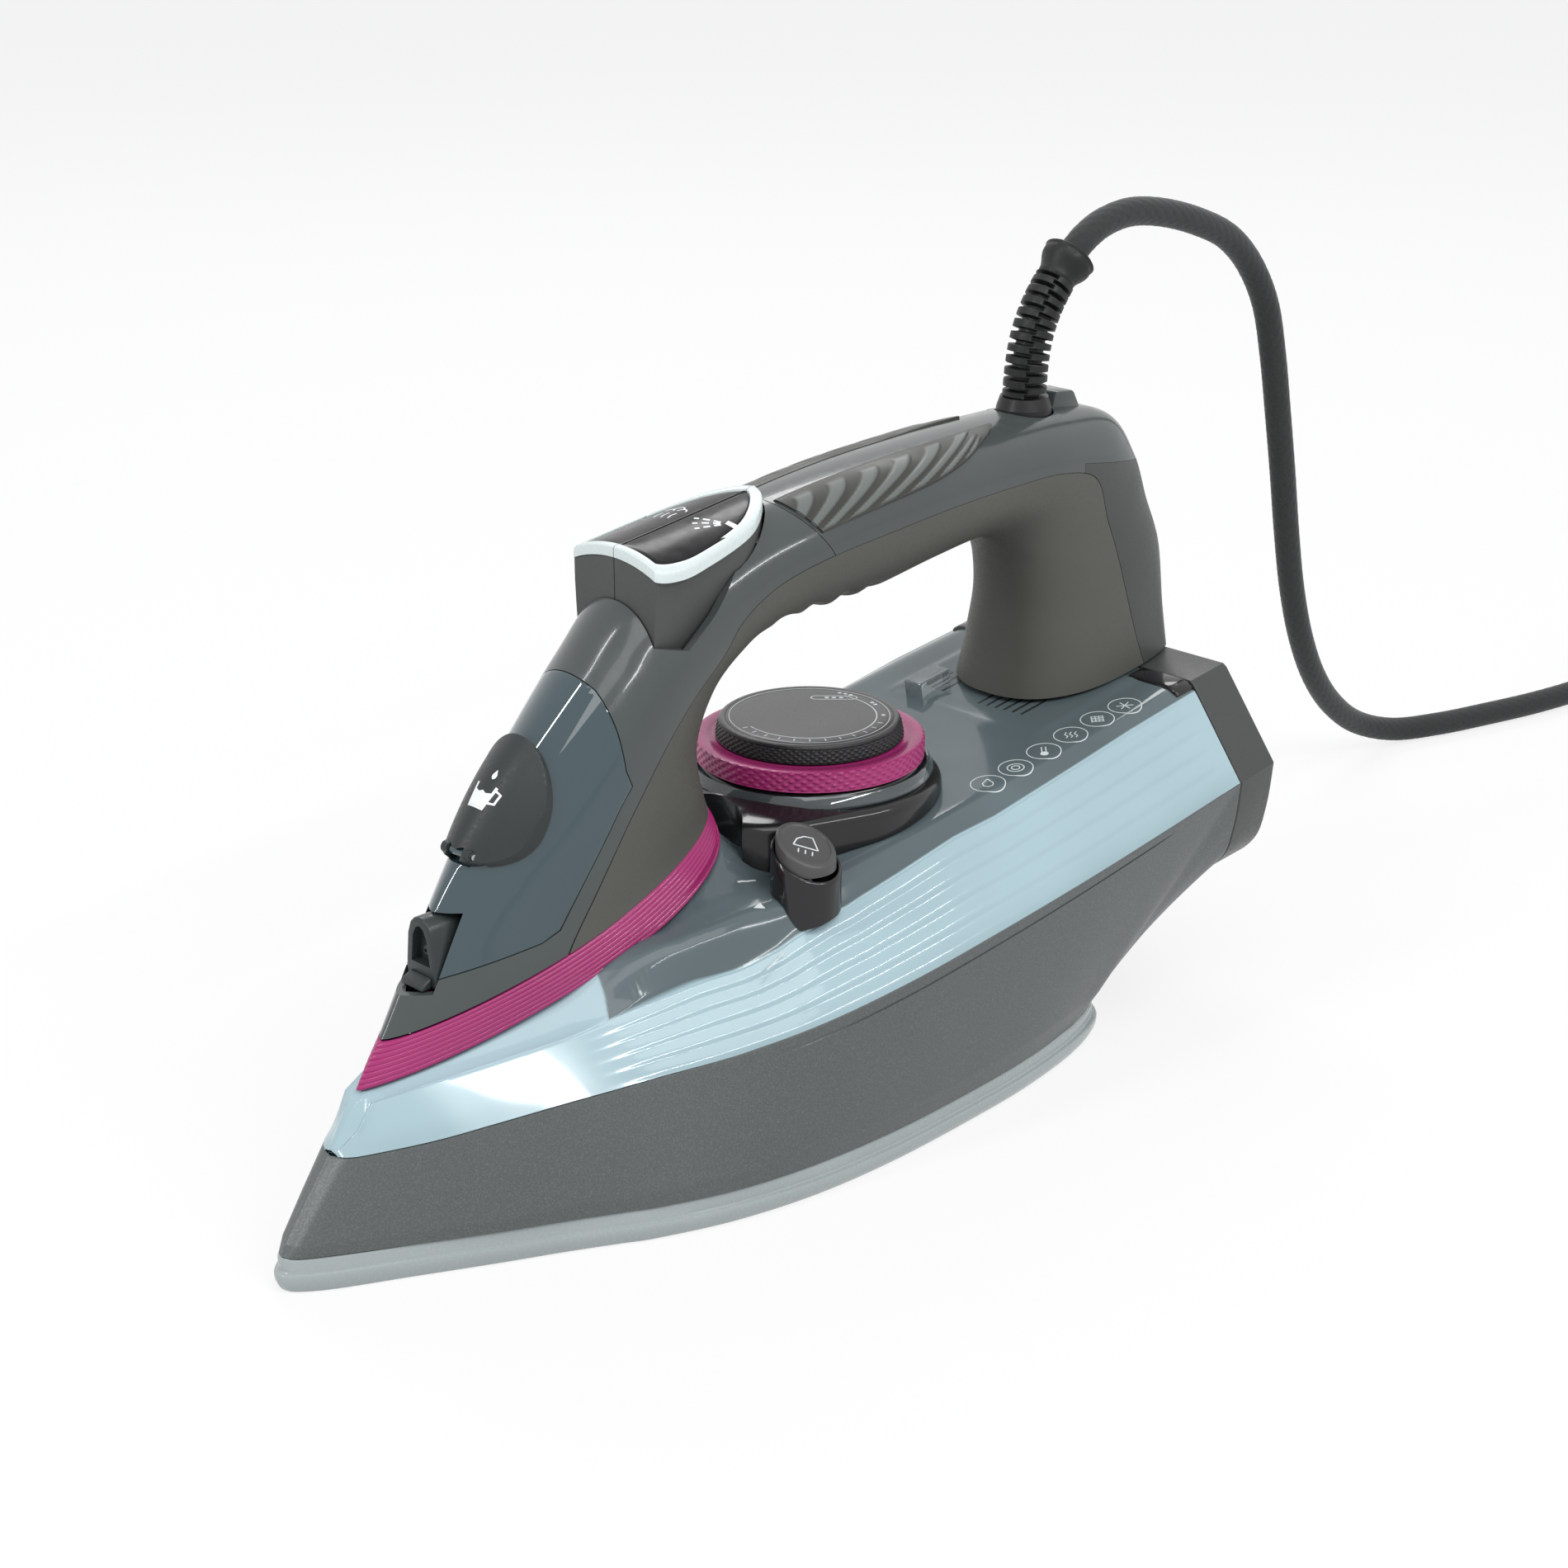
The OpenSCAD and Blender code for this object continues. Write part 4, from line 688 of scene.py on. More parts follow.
def finishes():
    """Every finish of the iron, made once."""
    if bpy.context.scene.get("iron_finishes_made"):
        return bpy.data.materials
    c = colours()
    flake_paint("skirt_paint", tuple(c.skirt), (0.13, 0.14, 0.14))
    # The side's dark end is its own colour at 0.72: painted shade along the foot of the side, by the
    # parting line
    toned_clear("tank_side_skin", shade(c.side, 0.72), tuple(c.side), 0.14, 0.35, 0.35)
    toned_clear("tank_top_skin", tuple(c.top), tuple(c.side), 0.12, 0.15, 0.25)
    toned_clear("band_plastic", tuple(c.band), shade(c.band, 1.9), 0.2, 0.15, 0.3)
    toned_clear("inlay_skin", shade(c.matte, 0.45), (0.13, 0.143, 0.138), 0.36, 0.0, 0.25)
    moulded("shell_gloss", tuple(c.gloss), 0.2, coat=0.3, grain=300, grain_height=0, spec=0.3)
    moulded("shell_matte", tuple(c.matte), 0.5, grain=1500, mottled=0.03, spec=0.25)
    see_through("window_plastic", (0.04, 0.075, 0.09), 0.02, 0.25, 0.5)
    see_through("lens_plastic", (0.9, 0.96, 1.0), 0.02, 0.95)
    see_through("bezel_plastic", (0.25, 0.3, 0.32), 0.04, 0.85)
    moulded("pod_matte", (0.07, 0.073, 0.07), 0.45, grain=1500, spec=0.25)
    moulded("rim_pale", tuple(c.rim), 0.3, grain=900, mottled=0.03)
    moulded("cap_gloss", (0.008, 0.008, 0.009), 0.2, coat=0.05, grain=300, grain_height=0,
            spec=0.15)
    moulded("flap_matte", (0.03, 0.034, 0.034), 0.4, grain=1300, spec=0.25)
    moulded("nozzle_satin", (0.03, 0.036, 0.036), 0.3, spec=0.3)
    moulded("black_gloss", tuple(c.black), 0.16, coat=0.25, grain=300, grain_height=0, spec=0.3)
    moulded("black_satin", (0.018, 0.018, 0.019), 0.35, grain=1100, spec=0.25)
    moulded("black_rubber", (0.01, 0.011, 0.011), 0.45, grain=900, grain_height=0.00005,
            spec=0.3)
    moulded("knob_satin", (0.068, 0.067, 0.067), 0.36, grain=2200, mottled=0.02,
            grain_height=0.00001)
    moulded("ring_plastic", shade(c.band, 1.2), 0.32, coat=0.15, grain=2200, mottled=0.02,
            grain_height=0.00001, spec=0.3)
    moulded("rear_satin", (0.055, 0.057, 0.056), 0.36, grain=1300, mottled=0.03, spec=0.3)
    moulded("sole_coat", tuple(c.sole), 0.25, coat=0.25, grain=1200, mottled=0.02,
            grain_height=0.00001)
    moulded("sole_face", (0.3, 0.31, 0.31), 0.22, coat=0.3, grain=800, mottled=0.08, metal=0.3)
    moulded("ink", tuple(c.ink), 0.5, grain=2000, mottled=0.02)
    moulded("ink_pale", (0.8, 0.83, 0.83), 0.5, grain=2000, mottled=0.02)
    # Near-black for the vent slots, which are not cut: painted shade standing for the inside of the
    # slots
    moulded("mark_dark", (0.012, 0.013, 0.013), 0.5, grain=2000)
    moulded("white_plastic", (0.7, 0.71, 0.69), 0.4)
    moulded("liner_pale", tuple(c.side), 0.35)
    moulded("lamp_red", (0.5, 0.03, 0.02), 0.2, coat=0.5)
    moulded("ivory_plastic", (0.7, 0.66, 0.5), 0.45)
    metal("cast_aluminium", (0.6, 0.61, 0.62), 0.45, grain=250)
    metal("bright_steel", (0.62, 0.63, 0.64), 0.25, (1, 1, 8))
    metal("element_steel", (0.28, 0.27, 0.26), 0.5, (1, 6, 6))
    braided("cord_braid", tuple(c.cord))
    bpy.context.scene["iron_finishes_made"] = True
    return bpy.data.materials


def tone_of(obj, tones):
    """Give a piece its tone attribute, one number for each vertex."""
    layer = obj.data.attributes.new("tone", "FLOAT", "POINT")
    layer.data.foreach_set("value", np.asarray(tones, np.float32).ravel())


def tone_by(obj, rule):
    """Give a piece its tone from a rule of x, y, z in millimetres."""
    co = np.zeros(len(obj.data.vertices) * 3, np.float32)
    obj.data.vertices.foreach_get("co", co)
    p = co.reshape(-1, 3) / MM
    if "tone" in obj.data.attributes:
        obj.data.attributes.remove(obj.data.attributes["tone"])
    tone_of(obj, rule(p[:, 0], p[:, 1], p[:, 2]))


# ---------------------------------------------------------------- stage
# Camera: place in metres, directions in degrees, lens and sensor in millimetres
EYE, HEADING, DIP = (-0.452265, -0.496634, 0.350717), 45.1813, 21.0599
LENS, SENSOR, CLIP_END = 66.69, 36, 50
FLOOR_HALF, FLOOR_DROP = 20000, 0.05  # millimetres
FLOOR_GLOW, FLOOR_TONE = 0.8, (0.8, 0.8, 0.8)
AMBIENT, AMBIENT_TONE = 0.55, (0.93, 0.97, 1.0)
LAMPS = (  # name, place, target, width and depth in metres, watts
    ("key", (-0.35, -0.9, 1.9), (0.0, 0.0, 0.1), 1.6, 1.2, 16.0),
    ("strip_left", (-1.2, 0.25, 0.95), (-0.05, 0.0, 0.08), 0.06, 1.3, 7.0),
    ("strip_near", (0.15, -1.15, 1.0), (0.0, 0.0, 0.1), 1.3, 0.05, 7.0),
    ("back", (0.8, 0.9, 1.2), (0.0, 0.0, 0.05), 1.2, 0.3, 7.0))


class IRON_OT_stage(bpy.types.Operator):
    """Pale floor, soft studio light and the camera"""
    bl_idname = "iron.stage"
    bl_label = "Stage"

    def execute(self, context):
        scene = context.scene
        scene.view_settings.view_transform = "Standard"
        scene.camera = self.camera()
        w, z = FLOOR_HALF, -FLOOR_DROP
        floor = mesh_object("floor", [(-w, -w, z), (w, -w, z), (w, w, z), (-w, w, z)],
                            [(0, 1, 2, 3)])
        floor.data.materials.append(self.floor_finish())
        scene.world = scene.world or bpy.data.worlds.new("studio")
        self.light_world(scene.world)
        for lamp in LAMPS:
            self.lamp(*lamp)
        return {"FINISHED"}

    def camera(self):
        cam = linked("camera", bpy.data.cameras.new("camera"))
        cam.location = EYE
        heading, dip = math.radians(HEADING), math.radians(DIP)
        look = Vector((math.cos(heading) * math.cos(dip), math.sin(heading) * math.cos(dip),
                       -math.sin(dip)))
        cam.rotation_euler = look.to_track_quat("-Z", "Y").to_euler()
        cam.data.lens, cam.data.sensor_width, cam.data.clip_end = LENS, SENSOR, CLIP_END
        return cam

    def floor_finish(self):
        """White that the camera sees as the background, with the shadow kept."""
        mat = bpy.data.materials.new("floor_white")
        mat.use_nodes = True
        tree = mat.node_tree
        tree.nodes.clear()
        diffuse = add_node(tree, "BsdfDiffuse", Color=(*FLOOR_TONE, 1))
        glow = add_node(tree, "Emission", Color=(1, 1, 1, 1))
        share = add_node(tree, "Math")
        share.operation = "MULTIPLY"
        share.inputs[1].default_value = FLOOR_GLOW
        tree.links.new(self.seen(tree), share.inputs[0])
        self.mix(tree, share.outputs[0], diffuse, glow, "OutputMaterial")
        return mat

    def light_world(self, world):
        """Soft light on the pieces, plain white to the camera and in mirrors."""
        world.use_nodes = True
        tree = world.node_tree
        tree.nodes.clear()
        dim = add_node(tree, "Background", Color=(*AMBIENT_TONE, 1), Strength=AMBIENT)
        white = add_node(tree, "Background", Color=(1, 1, 1, 1), Strength=1.0)
        self.mix(tree, self.seen(tree), dim, white, "OutputWorld")

    def mix(self, tree, factor, a, b, output):
        blend, out = add_node(tree, "MixShader"), add_node(tree, output)
        tree.links.new(factor, blend.inputs["Fac"])
        tree.links.new(a.outputs[0], blend.inputs[1])
        tree.links.new(b.outputs[0], blend.inputs[2])
        tree.links.new(blend.outputs[0], out.inputs["Surface"])

    def seen(self, tree):
        """1 for camera, glossy and transmission rays."""
        path = add_node(tree, "LightPath")
        result = path.outputs["Is Camera Ray"]
        for other in ("Is Glossy Ray", "Is Transmission Ray"):
            either = add_node(tree, "Math")
            either.operation = "MAXIMUM"
            tree.links.new(result, either.inputs[0])
            tree.links.new(path.outputs[other], either.inputs[1])
            result = either.outputs[0]
        return result

    def lamp(self, name, place, target, wide, deep, watts):
        data = bpy.data.lights.new(name, "AREA")
        data.shape = "RECTANGLE"
        data.size, data.size_y, data.energy = wide, deep, watts
        obj = linked(name, data)
        obj.location = place
        obj.rotation_euler = (Vector(target) - Vector(place)).to_track_quat("-Z", "Y").to_euler()


# ---------------------------------------------------------------- cord
CORD_D, LAID_Z = 8.0, 4.1
CORD_POINTS = [[149.2, 0, 203.2], [155.5, 0.5, 207.2], [165, 1.5, 210.2], [178, 2.5, 211.2],
               [194, 3.5, 208.8], [211, 4.5, 204], [227, 6, 197.5], [241, 8, 187.5],
               [252, 9.5, 174], [259.5, 11, 157], [266, 12.5, 138], [272.5, 14, 118],
               [279.5, 16, 97], [288, 18.5, 76], [299, 21.5, 56.5], [313, 25, 39], [330, 28.5, 24],
               [349, 30.5, 12], [368, 28, 5.3], [387, 21.5, 4.2], [408, 15.5, 4.1], [430, 10, 4.1],
               [452, 6.6, 4.1], [473, 6, 4.1]]
TAIL_POINTS = [[484, -83.6, 20], [476, -84.3, 18], [464, -85.3, 13.5], [452, -86.4, 8.6],
               [440, -87.4, 5.7], [428.6, -88.4, 5.1]]
COIL_AT, COIL_R = (512.0, -36.0), 45.0
COIL_START, COIL_TURNED = 110.0, 1635.0
PLUG_AT, PLUG_TILT, PLUG_HEADING = (391.3, -91.7, 15.2), 74.5, 185.0
RELIEF_POINTS = [[132, 0, 168.2], [132.6, 0, 176], [134.4, 0, 184], [138, 0, 191.2],
                 [143.2, 0, 197.6], [149, 0, 203]]


def coil_place(turned):
    """A point of the coil by degrees of winding: two turns flat, two on them, the rest on top."""
    r, z = COIL_R + CORD_D / 2, LAID_Z
    r -= CORD_D * smooth(turned, 320, 360)
    z += CORD_D * smooth(turned, 640, 690)
    r += CORD_D * smooth(turned, 940, 990)
    lift = math.radians(60 * smooth(turned, 1250, 1290))
    r += CORD_D * math.cos(lift) - CORD_D
    z += CORD_D * math.sin(lift)
    z += 1.3 * smooth(turned, 1275, 1300) * (1 - smooth(turned, 1360, 1380))
    z += 5.2 * smooth(turned, 1580, 1635)
    a = math.radians(COIL_START - turned)
    return [COIL_AT[0] + r * math.cos(a), COIL_AT[1] + r * math.sin(a), float(z)]


def cord_route():
    """The whole line of the cord in millimetres: arch, floor, coil, and down to the plug."""
    coil = [coil_place(c) for c in range(12, int(COIL_TURNED) + 1, 15)]
    over = [[505.0, -81.8, 25.2], [494.5, -82.7, 23.4]]
    return even_path(CORD_POINTS + coil + over + TAIL_POINTS, 0.9)


STRAP_ROUND = 3


class IRON_OT_cord(bpy.types.Operator):
    """Braided cord, its strain relief, tie and plug"""
    bl_idname = "iron.cord"
    bl_label = "Cord"

    def execute(self, context):
        mats = finishes()
        route = cord_route()
        relief = self.make_relief(mats)
        tie = self.make_tie(mats)
        plug = self.make_plug(mats)
        cord = self.make_cord(route, mats)
        return {"FINISHED"}

    def make_cord(self, route, mats):
        """Tube with the raised chevrons of a plaited textile cover."""
        steps, pitch, strands = 32, 9.0, 8
        lift = sizes().braid / MM
        run = np.concatenate([[0], np.cumsum(np.linalg.norm(np.diff(route, axis=0), axis=1))])

        def weave(n, a):
            s = 2 * math.pi * run[:, None] / pitch
            left = np.abs(np.sin(strands / 2 * a[None, :] + s * 0.5 * strands / 4))
            right = np.abs(np.sin(strands / 2 * a[None, :] - s * 0.5 * strands / 4))
            return lift * (np.maximum(left, right) * 2 - 1.7)

        cord = swept("cord", route, CORD_D / 2 - lift * 0.3, steps, weave)
        return settle(cord, mats["cord_braid"], "cord_swivel", ("cord_tube", "cord_coil"),
                      sharp=80)

    def make_relief(self, mats):
        """Ribbed bending relief with staggered slots and a flared mouth."""
        path = even_path(RELIEF_POINTS, 0.2)
        total = len(path)
        run = np.linspace(0, 1, total)
        ribs = 11

        def wave(n, a):
            facing = np.cos(a - math.radians(135))
            out = np.zeros((n, len(a)))
            for i in range(n):
                u = run[i] / 0.8
                if u >= 1:
                    out[i] = 1.9 * smooth(u, 1.03, 1.2) - 0.4 * smooth(1.03 - u, 0, 0.05)
                    continue
                for half, start in ((1, 0.0), (-1, 0.5)):
                    phase = (u * ribs + start) % 1
                    deep = smooth(phase, 0.0, 0.07) * (1 - smooth(phase, 0.32, 0.39))
                    out[i] -= 1.9 * deep * smooth(half * facing, -0.12, 0.04)
                out[i] += 0.25
            return out

        radius = 5.7 - 0.5 * run
        body = swept("strain_relief_ribbed", path, radius, 72, wave)
        mouth = swept("mouth", [path[-1] - (path[-1] - path[-8]) * 2.0, path[-1], path[-1]
                                + unit(path[-1] - path[-8]) * 0.4], [6.4, 7.4, 6.9], 48)
        relief = joined([body, mouth], "strain_relief_ribbed")
        return settle(relief, mats["black_rubber"], "cord_swivel", ("strain_relief",))

    def make_tie(self, mats):
        """Soft strap round the coil."""
        x0, top, half = COIL_AT[0] + COIL_R, 2.87 * CORD_D + 0.4, 8.6
        outline = []
        right, high = half - STRAP_ROUND, top - STRAP_ROUND
        corners = (right, STRAP_ROUND), (right, high), (-right, high), (-right, STRAP_ROUND)
        for corner, (cx, cz) in enumerate(corners):
            for k in range(7):
                a = math.radians(90 * (corner - 1) + 15 * k)
                outline.append((cx + STRAP_ROUND * math.cos(a), cz + STRAP_ROUND * math.sin(a)))
        rings = []
        for y, grow in ((-4, -0.5), (-3.7, 0), (3.7, 0), (4, -0.5)):
            rings.append([(x0 + x * (1 + grow * 0.02), COIL_AT[1] + y, max(z, 0.02))
                          for x, z in outline])
        outer = stack_object("tie_outer", rings)
        room = [[(x0 + x * 0.9, COIL_AT[1] + y, 0.9 + z * 0.92) for x, z in outline]
                for y in (-5, 5)]
        inner = stack_object("tie_inner", room)
        tie = softened(carve(outer, inner), 0.3)
        tie.name = "coil_strap"
        return settle(tie, mats["black_rubber"], "cord_swivel", ("cord_tie",))

    def make_plug(self, mats):
        """Earthed mains plug: round body, grip flutes, flange, side channels and tapered tail."""
        profile = [(3.9, -38), (4.9, -37.8), (5.2, -36), (5.6, -30), (6.6, -22), (7.4, -17.6),
                   (8.9, -17.2), (9.0, -15), (9.4, -6), (11.0, 2), (14.6, 8.6), (17.6, 11.6),
                   (18.3, 13), (18.4, 16.6), (17.6, 17.8), (17.4, 19.6), (16.9, 20.0), (0.5, 20.0)]
        dense = []
        for (r0, z0), (r1, z1) in zip(profile[:-1], profile[1:]):
            for k in range(3):
                dense.append((r0 + (r1 - r0) * k / 3, z0 + (z1 - z0) * k / 3))
        dense.append(profile[-1])

        def flutes(k, a, r, z):
            if -34 < z < -19:
                return -0.7 * (math.sin(z * 1.45) > 0.2)
            if -14 < z < 2:
                return -0.5 * max(math.sin(9 * a), 0) ** 2
            return 0

        plug = turned("mains_plug", dense, steps=96, wave=flutes)
        turn = Euler((0, math.radians(PLUG_TILT), math.radians(PLUG_HEADING)), "XYZ")
        plug.matrix_world = (Matrix.Translation(Vector(PLUG_AT) * MM)
                             @ turn.to_matrix().to_4x4())
        plug = joined([plug], "mains_plug")
        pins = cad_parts["plug_pins"]
        pins.data.materials.clear()
        pins.data.materials.append(mats["bright_steel"])
        return settle(plug, mats["black_satin"], "cord_swivel", ("plug",))


# ---------------------------------------------------------------- soleplate and skirt
def inwards(g, d, closed=False):
    return g - d * normals_of(g, closed)


def mirrored(half):
    return list(half) + [(p[0], -p[1], *p[2:]) for p in reversed(half[1:-1])]


def sole_ring(inset, z, per=8):
    line = spline(SOLE_LINE, per)
    half = [(NOSE_X + inset + p[0] * (SOLE_L - 2 * inset), max(p[1] * (SOLE_W / 2 - inset), 0), z)
            for p in line]
    half[0] = (half[0][0], 0, z)
    half[-1] = (half[-1][0], 0, z)
    return mirrored(half)


class IRON_OT_soleplate(bpy.types.Operator):
    """Soleplate with a stepped coated rim and its steam holes"""
    bl_idname = "iron.soleplate"
    bl_label = "Soleplate"

    def execute(self, context):
        mats = finishes()
        profile = [(1.9, 0.0), (1.3, 0.25), (0.8, 0.9), (0.45, 1.6), (0.15, 2.3), (0.0, 3.2),
                   (0.0, 4.3), (0.25, 4.7), (1.0, 4.95), (1.25, 5.3), (1.25, 7.9), (1.6, 8.45)]
        inner = [(3.4, 8.45), (3.4, 3.4)]
        plate = stack_object("sole_plate", [sole_ring(i, z) for i, z in profile + inner])
        holes = []
        for s in (-1, 1):
            for count, x0, y0, dy in ((8, 20, 4, 4.6), (5, 38, 2.5, 4)):
                for k in range(count):
                    holes.append((NOSE_X + x0 + 13 * k, s * (y0 + dy * k)))
        holes.append((NOSE_X + 14, 0))
        cutters = [turned("hole", [(1.9, -1), (1.5, 0.4), (1.25, 0.8), (1.25, 6)], at, 24)
                   for at in holes]
        carve(plate, joined(cutters, "holes"))
        settle(plate, mats["sole_coat"], "root", ("soleplate",))
        plate.data.materials.append(mats["sole_face"])
        for f in plate.data.polygons:
            if f.normal.z < -0.9 and f.center.z < 0.001:
                f.material_index = 1
        return {"FINISHED"}


SKIRT_IN, SKIRT_L, SKIRT_Z = 1.0, 234.8, 8.7


def skirt_column(k, side_n, rear_n):
    """Low and high end of the skirt's wall at step k of half its outline."""
    t = 14 * (k / side_n) ** 1.25 if k <= side_n else 14 + 3 * (k - side_n) / rear_n
    p = row_at(SKIRT_LINE, t)
    low = np.array([NOSE_X + SKIRT_IN + 0.6 + p[0] * SKIRT_L, p[1] * (SOLE_W / 2 - SKIRT_IN),
                    SKIRT_Z])
    if k <= side_n:
        q = row_at(TANK_LINE, t)
        x = TANK_NOSE_X + q[0] * TANK_L
        high = np.array([x, q[1] * TANK_W / 2, parting_z(x)])
    else:
        q = row_at(COVER_LOW, 5 * (k - side_n) / rear_n)
        high = np.array([COVER_X, q[0] * TANK_W * 0.4935, parting_z(COVER_X) * q[1]])
    return low, high


class IRON_OT_skirt(bpy.types.Operator):
    """Metallic skirt with its low crease and the fine groove under its upper edge"""
    bl_idname = "iron.skirt"
    bl_label = "Skirt"

    def execute(self, context):
        side_n, rear_n = 120, 40
        half = [self.column(k, side_n, rear_n) for k in range(side_n + rear_n + 1)]
        back = [np.array([(p[0], -p[1], p[2]) for p in half[k]]) for k in range(1, side_n + rear_n)]
        grid = np.array(half[::-1] + back)
        skirt = sheet_object("skirt_shell", grid, self.level(grid, inwards(grid, WALL, True)), True)
        settle(skirt, finishes()["skirt_paint"], "root", ("skirt",), sharp=24)
        return {"FINISHED"}

    def column(self, k, side_n, rear_n):
        a, b = skirt_column(k, side_n, rear_n)
        out = unit(np.array([0.3 * (1 if a[0] > 60 else -1), 1 if a[1] > 1 else 0, 0], float))
        size = np.linalg.norm(b - a)
        groove = smooth(a[0], -20, 20) * (1 - smooth(b[0], 128, 131))
        at = 1 - 3.2 / size
        shares = [0, 0.03, 0.07, 0.1, 0.12, 0.13, 0.14, 0.16, 0.2, 0.27, 0.35, 0.45, 0.55, 0.65,
                  0.75, 0.83, at - 0.9 / size, at - 0.35 / size, at - 0.2 / size, at + 0.2 / size,
                  at + 0.35 / size, at + 0.9 / size, (1 + at) / 2 + 0.3 / size, 1 - 0.5 / size,
                  1 - 0.2 / size, 1]
        column = []
        for v in shares:
            swell = np.interp(v, [0, 0.13, 0.55, 1], [0, 0.7, 0.5, 0])
            dip = 0.35 * groove if abs(v - at) < 0.25 / size else 0
            dip += 0.35 * (1 if v == 1 else 0.1 if v > 1 - 0.3 / size else 0)
            column.append(a + v * (b - a) + (swell - dip) * out)
        return np.array(column)

    def level(self, outer, inner):
        low, high = outer[..., 2].min(1, keepdims=True), outer[..., 2].max(1, keepdims=True)
        inner[..., 2] = np.clip(inner[..., 2], low, high)
        return inner


# ---------------------------------------------------------------- tank
BAND_HALF = np.array([handle_point(BAND_ROW, f, 1) for f in np.linspace(0, 1, 81)])
BAND_FRONT, BAND_BACK = BAND_HALF[0][0], BAND_HALF[-1][0]
FOOT_FRONT = BAND_HALF[0][2] - 0.8
# Ribs along the band, and how far round it the deck rises to its foot
BAND_RIBS, RISE_REACH = 8, 17.0


def tank_u(x):
    return (x - TANK_NOSE_X) / TANK_L


TANK_EDGE = np.array(spline(TANK_LINE, 6))


def tank_half_width(u):
    return TANK_W / 2 * lookup(u, TANK_EDGE[:, 0], TANK_EDGE[:, 1])


def foot_z(x):
    """Height of the tank's middle: up the nose, then under the band, then the deck."""
    if x < BAND_FRONT:
        share = (x - TANK_NOSE_X) / (BAND_FRONT - TANK_NOSE_X)
        return parting_z(x) + (FOOT_FRONT - SKIRT_NOSE_Z) * share
    if x < BAND_BACK:
        return lookup(x, BAND_HALF[:, 0], BAND_HALF[:, 2]) - 0.8
    return deck_z(x)


# How far the crease drops below its plain line along the iron
CREASE_DIP = [(-22, 0), (-8, 1.6), (0, 1.8), (6, 1.2), (14, 1.2), (22, 1.8), (40, 1.5), (60, 0.8),
              (75, 1.6), (92, 1.2), (110, 0.7), (130, 0)]
# Where the side's steps lie between the parting line and the crease
STEP_EDGES = (0.0, 0.22, 0.42, 0.62, 0.8, 1.0)
# Front end of the smoky top: distances from the middle, and places along the iron
SMOKE_EDGE = ((0, 22.7, 29, 36, 40, 42.7, 43.6, 52),
              (-34, -41.2, -44.8, -48.1, -49.6, -49, -44, -30))


def crease_point(x):
    """Half width and height of the crease between the tank's side and top."""
    u, zp = tank_u(x), parting_z(x)
    wp = tank_half_width(u)
    us = [r[0] for r in CREASE]
    hc = (foot_z(x) - zp) * 0.55 if x < BAND_FRONT else min(
        SIDE_H * lookup(u, us, [r[1] for r in CREASE]), foot_z(x) - zp - 0.2)
    wc = min(TANK_W / 2 * lookup(u, us, [r[2] for r in CREASE]), wp * 0.8)
    dip = lookup(x, [d[0] for d in CREASE_DIP], [d[1] for d in CREASE_DIP])
    return wp, wc + dip * 0.35, zp, zp + hc - dip


def top_height(x, y):
    """Height of the tank's top over the plan, with the rise to the band's foot."""
    _, wc, _, zc = crease_point(x)
    y = abs(y)
    mz = foot_z(x)
    mid = lookup(x, BAND_HALF[:, 0], BAND_HALF[:, 1]) if BAND_FRONT < x < BAND_BACK else 0
    inner = max(mid, wc * 0.3)
    if x < BAND_FRONT:
        return zc + (mz - zc) * min(max((wc - y) / max(wc - wc * 0.3, 1e-3), 0), 1)
    s = min(max((wc - y) / max(wc - inner, 1e-3), 0), 1)
    near = zc + (mz - zc) * s ** 1.6
    share = smooth(x, -50, -24)
    if share <= 0:
        return near
    deck = zc + (deck_z(x) - zc) * smooth(wc - y, 0, 6) ** 0.8
    gap = np.hypot(BAND_HALF[:, 0] - x, BAND_HALF[:, 1] - y)
    k = int(gap.argmin())
    inside = x < BAND_BACK and y < mid
    rise = 1.0 if inside else max(1 - gap[k] / RISE_REACH, 0)
    foot = mz if inside else BAND_HALF[k][2] - 0.8
    far = deck + max(foot - deck, 0) * rise ** 2.1
    return near * (1 - share) + far * share


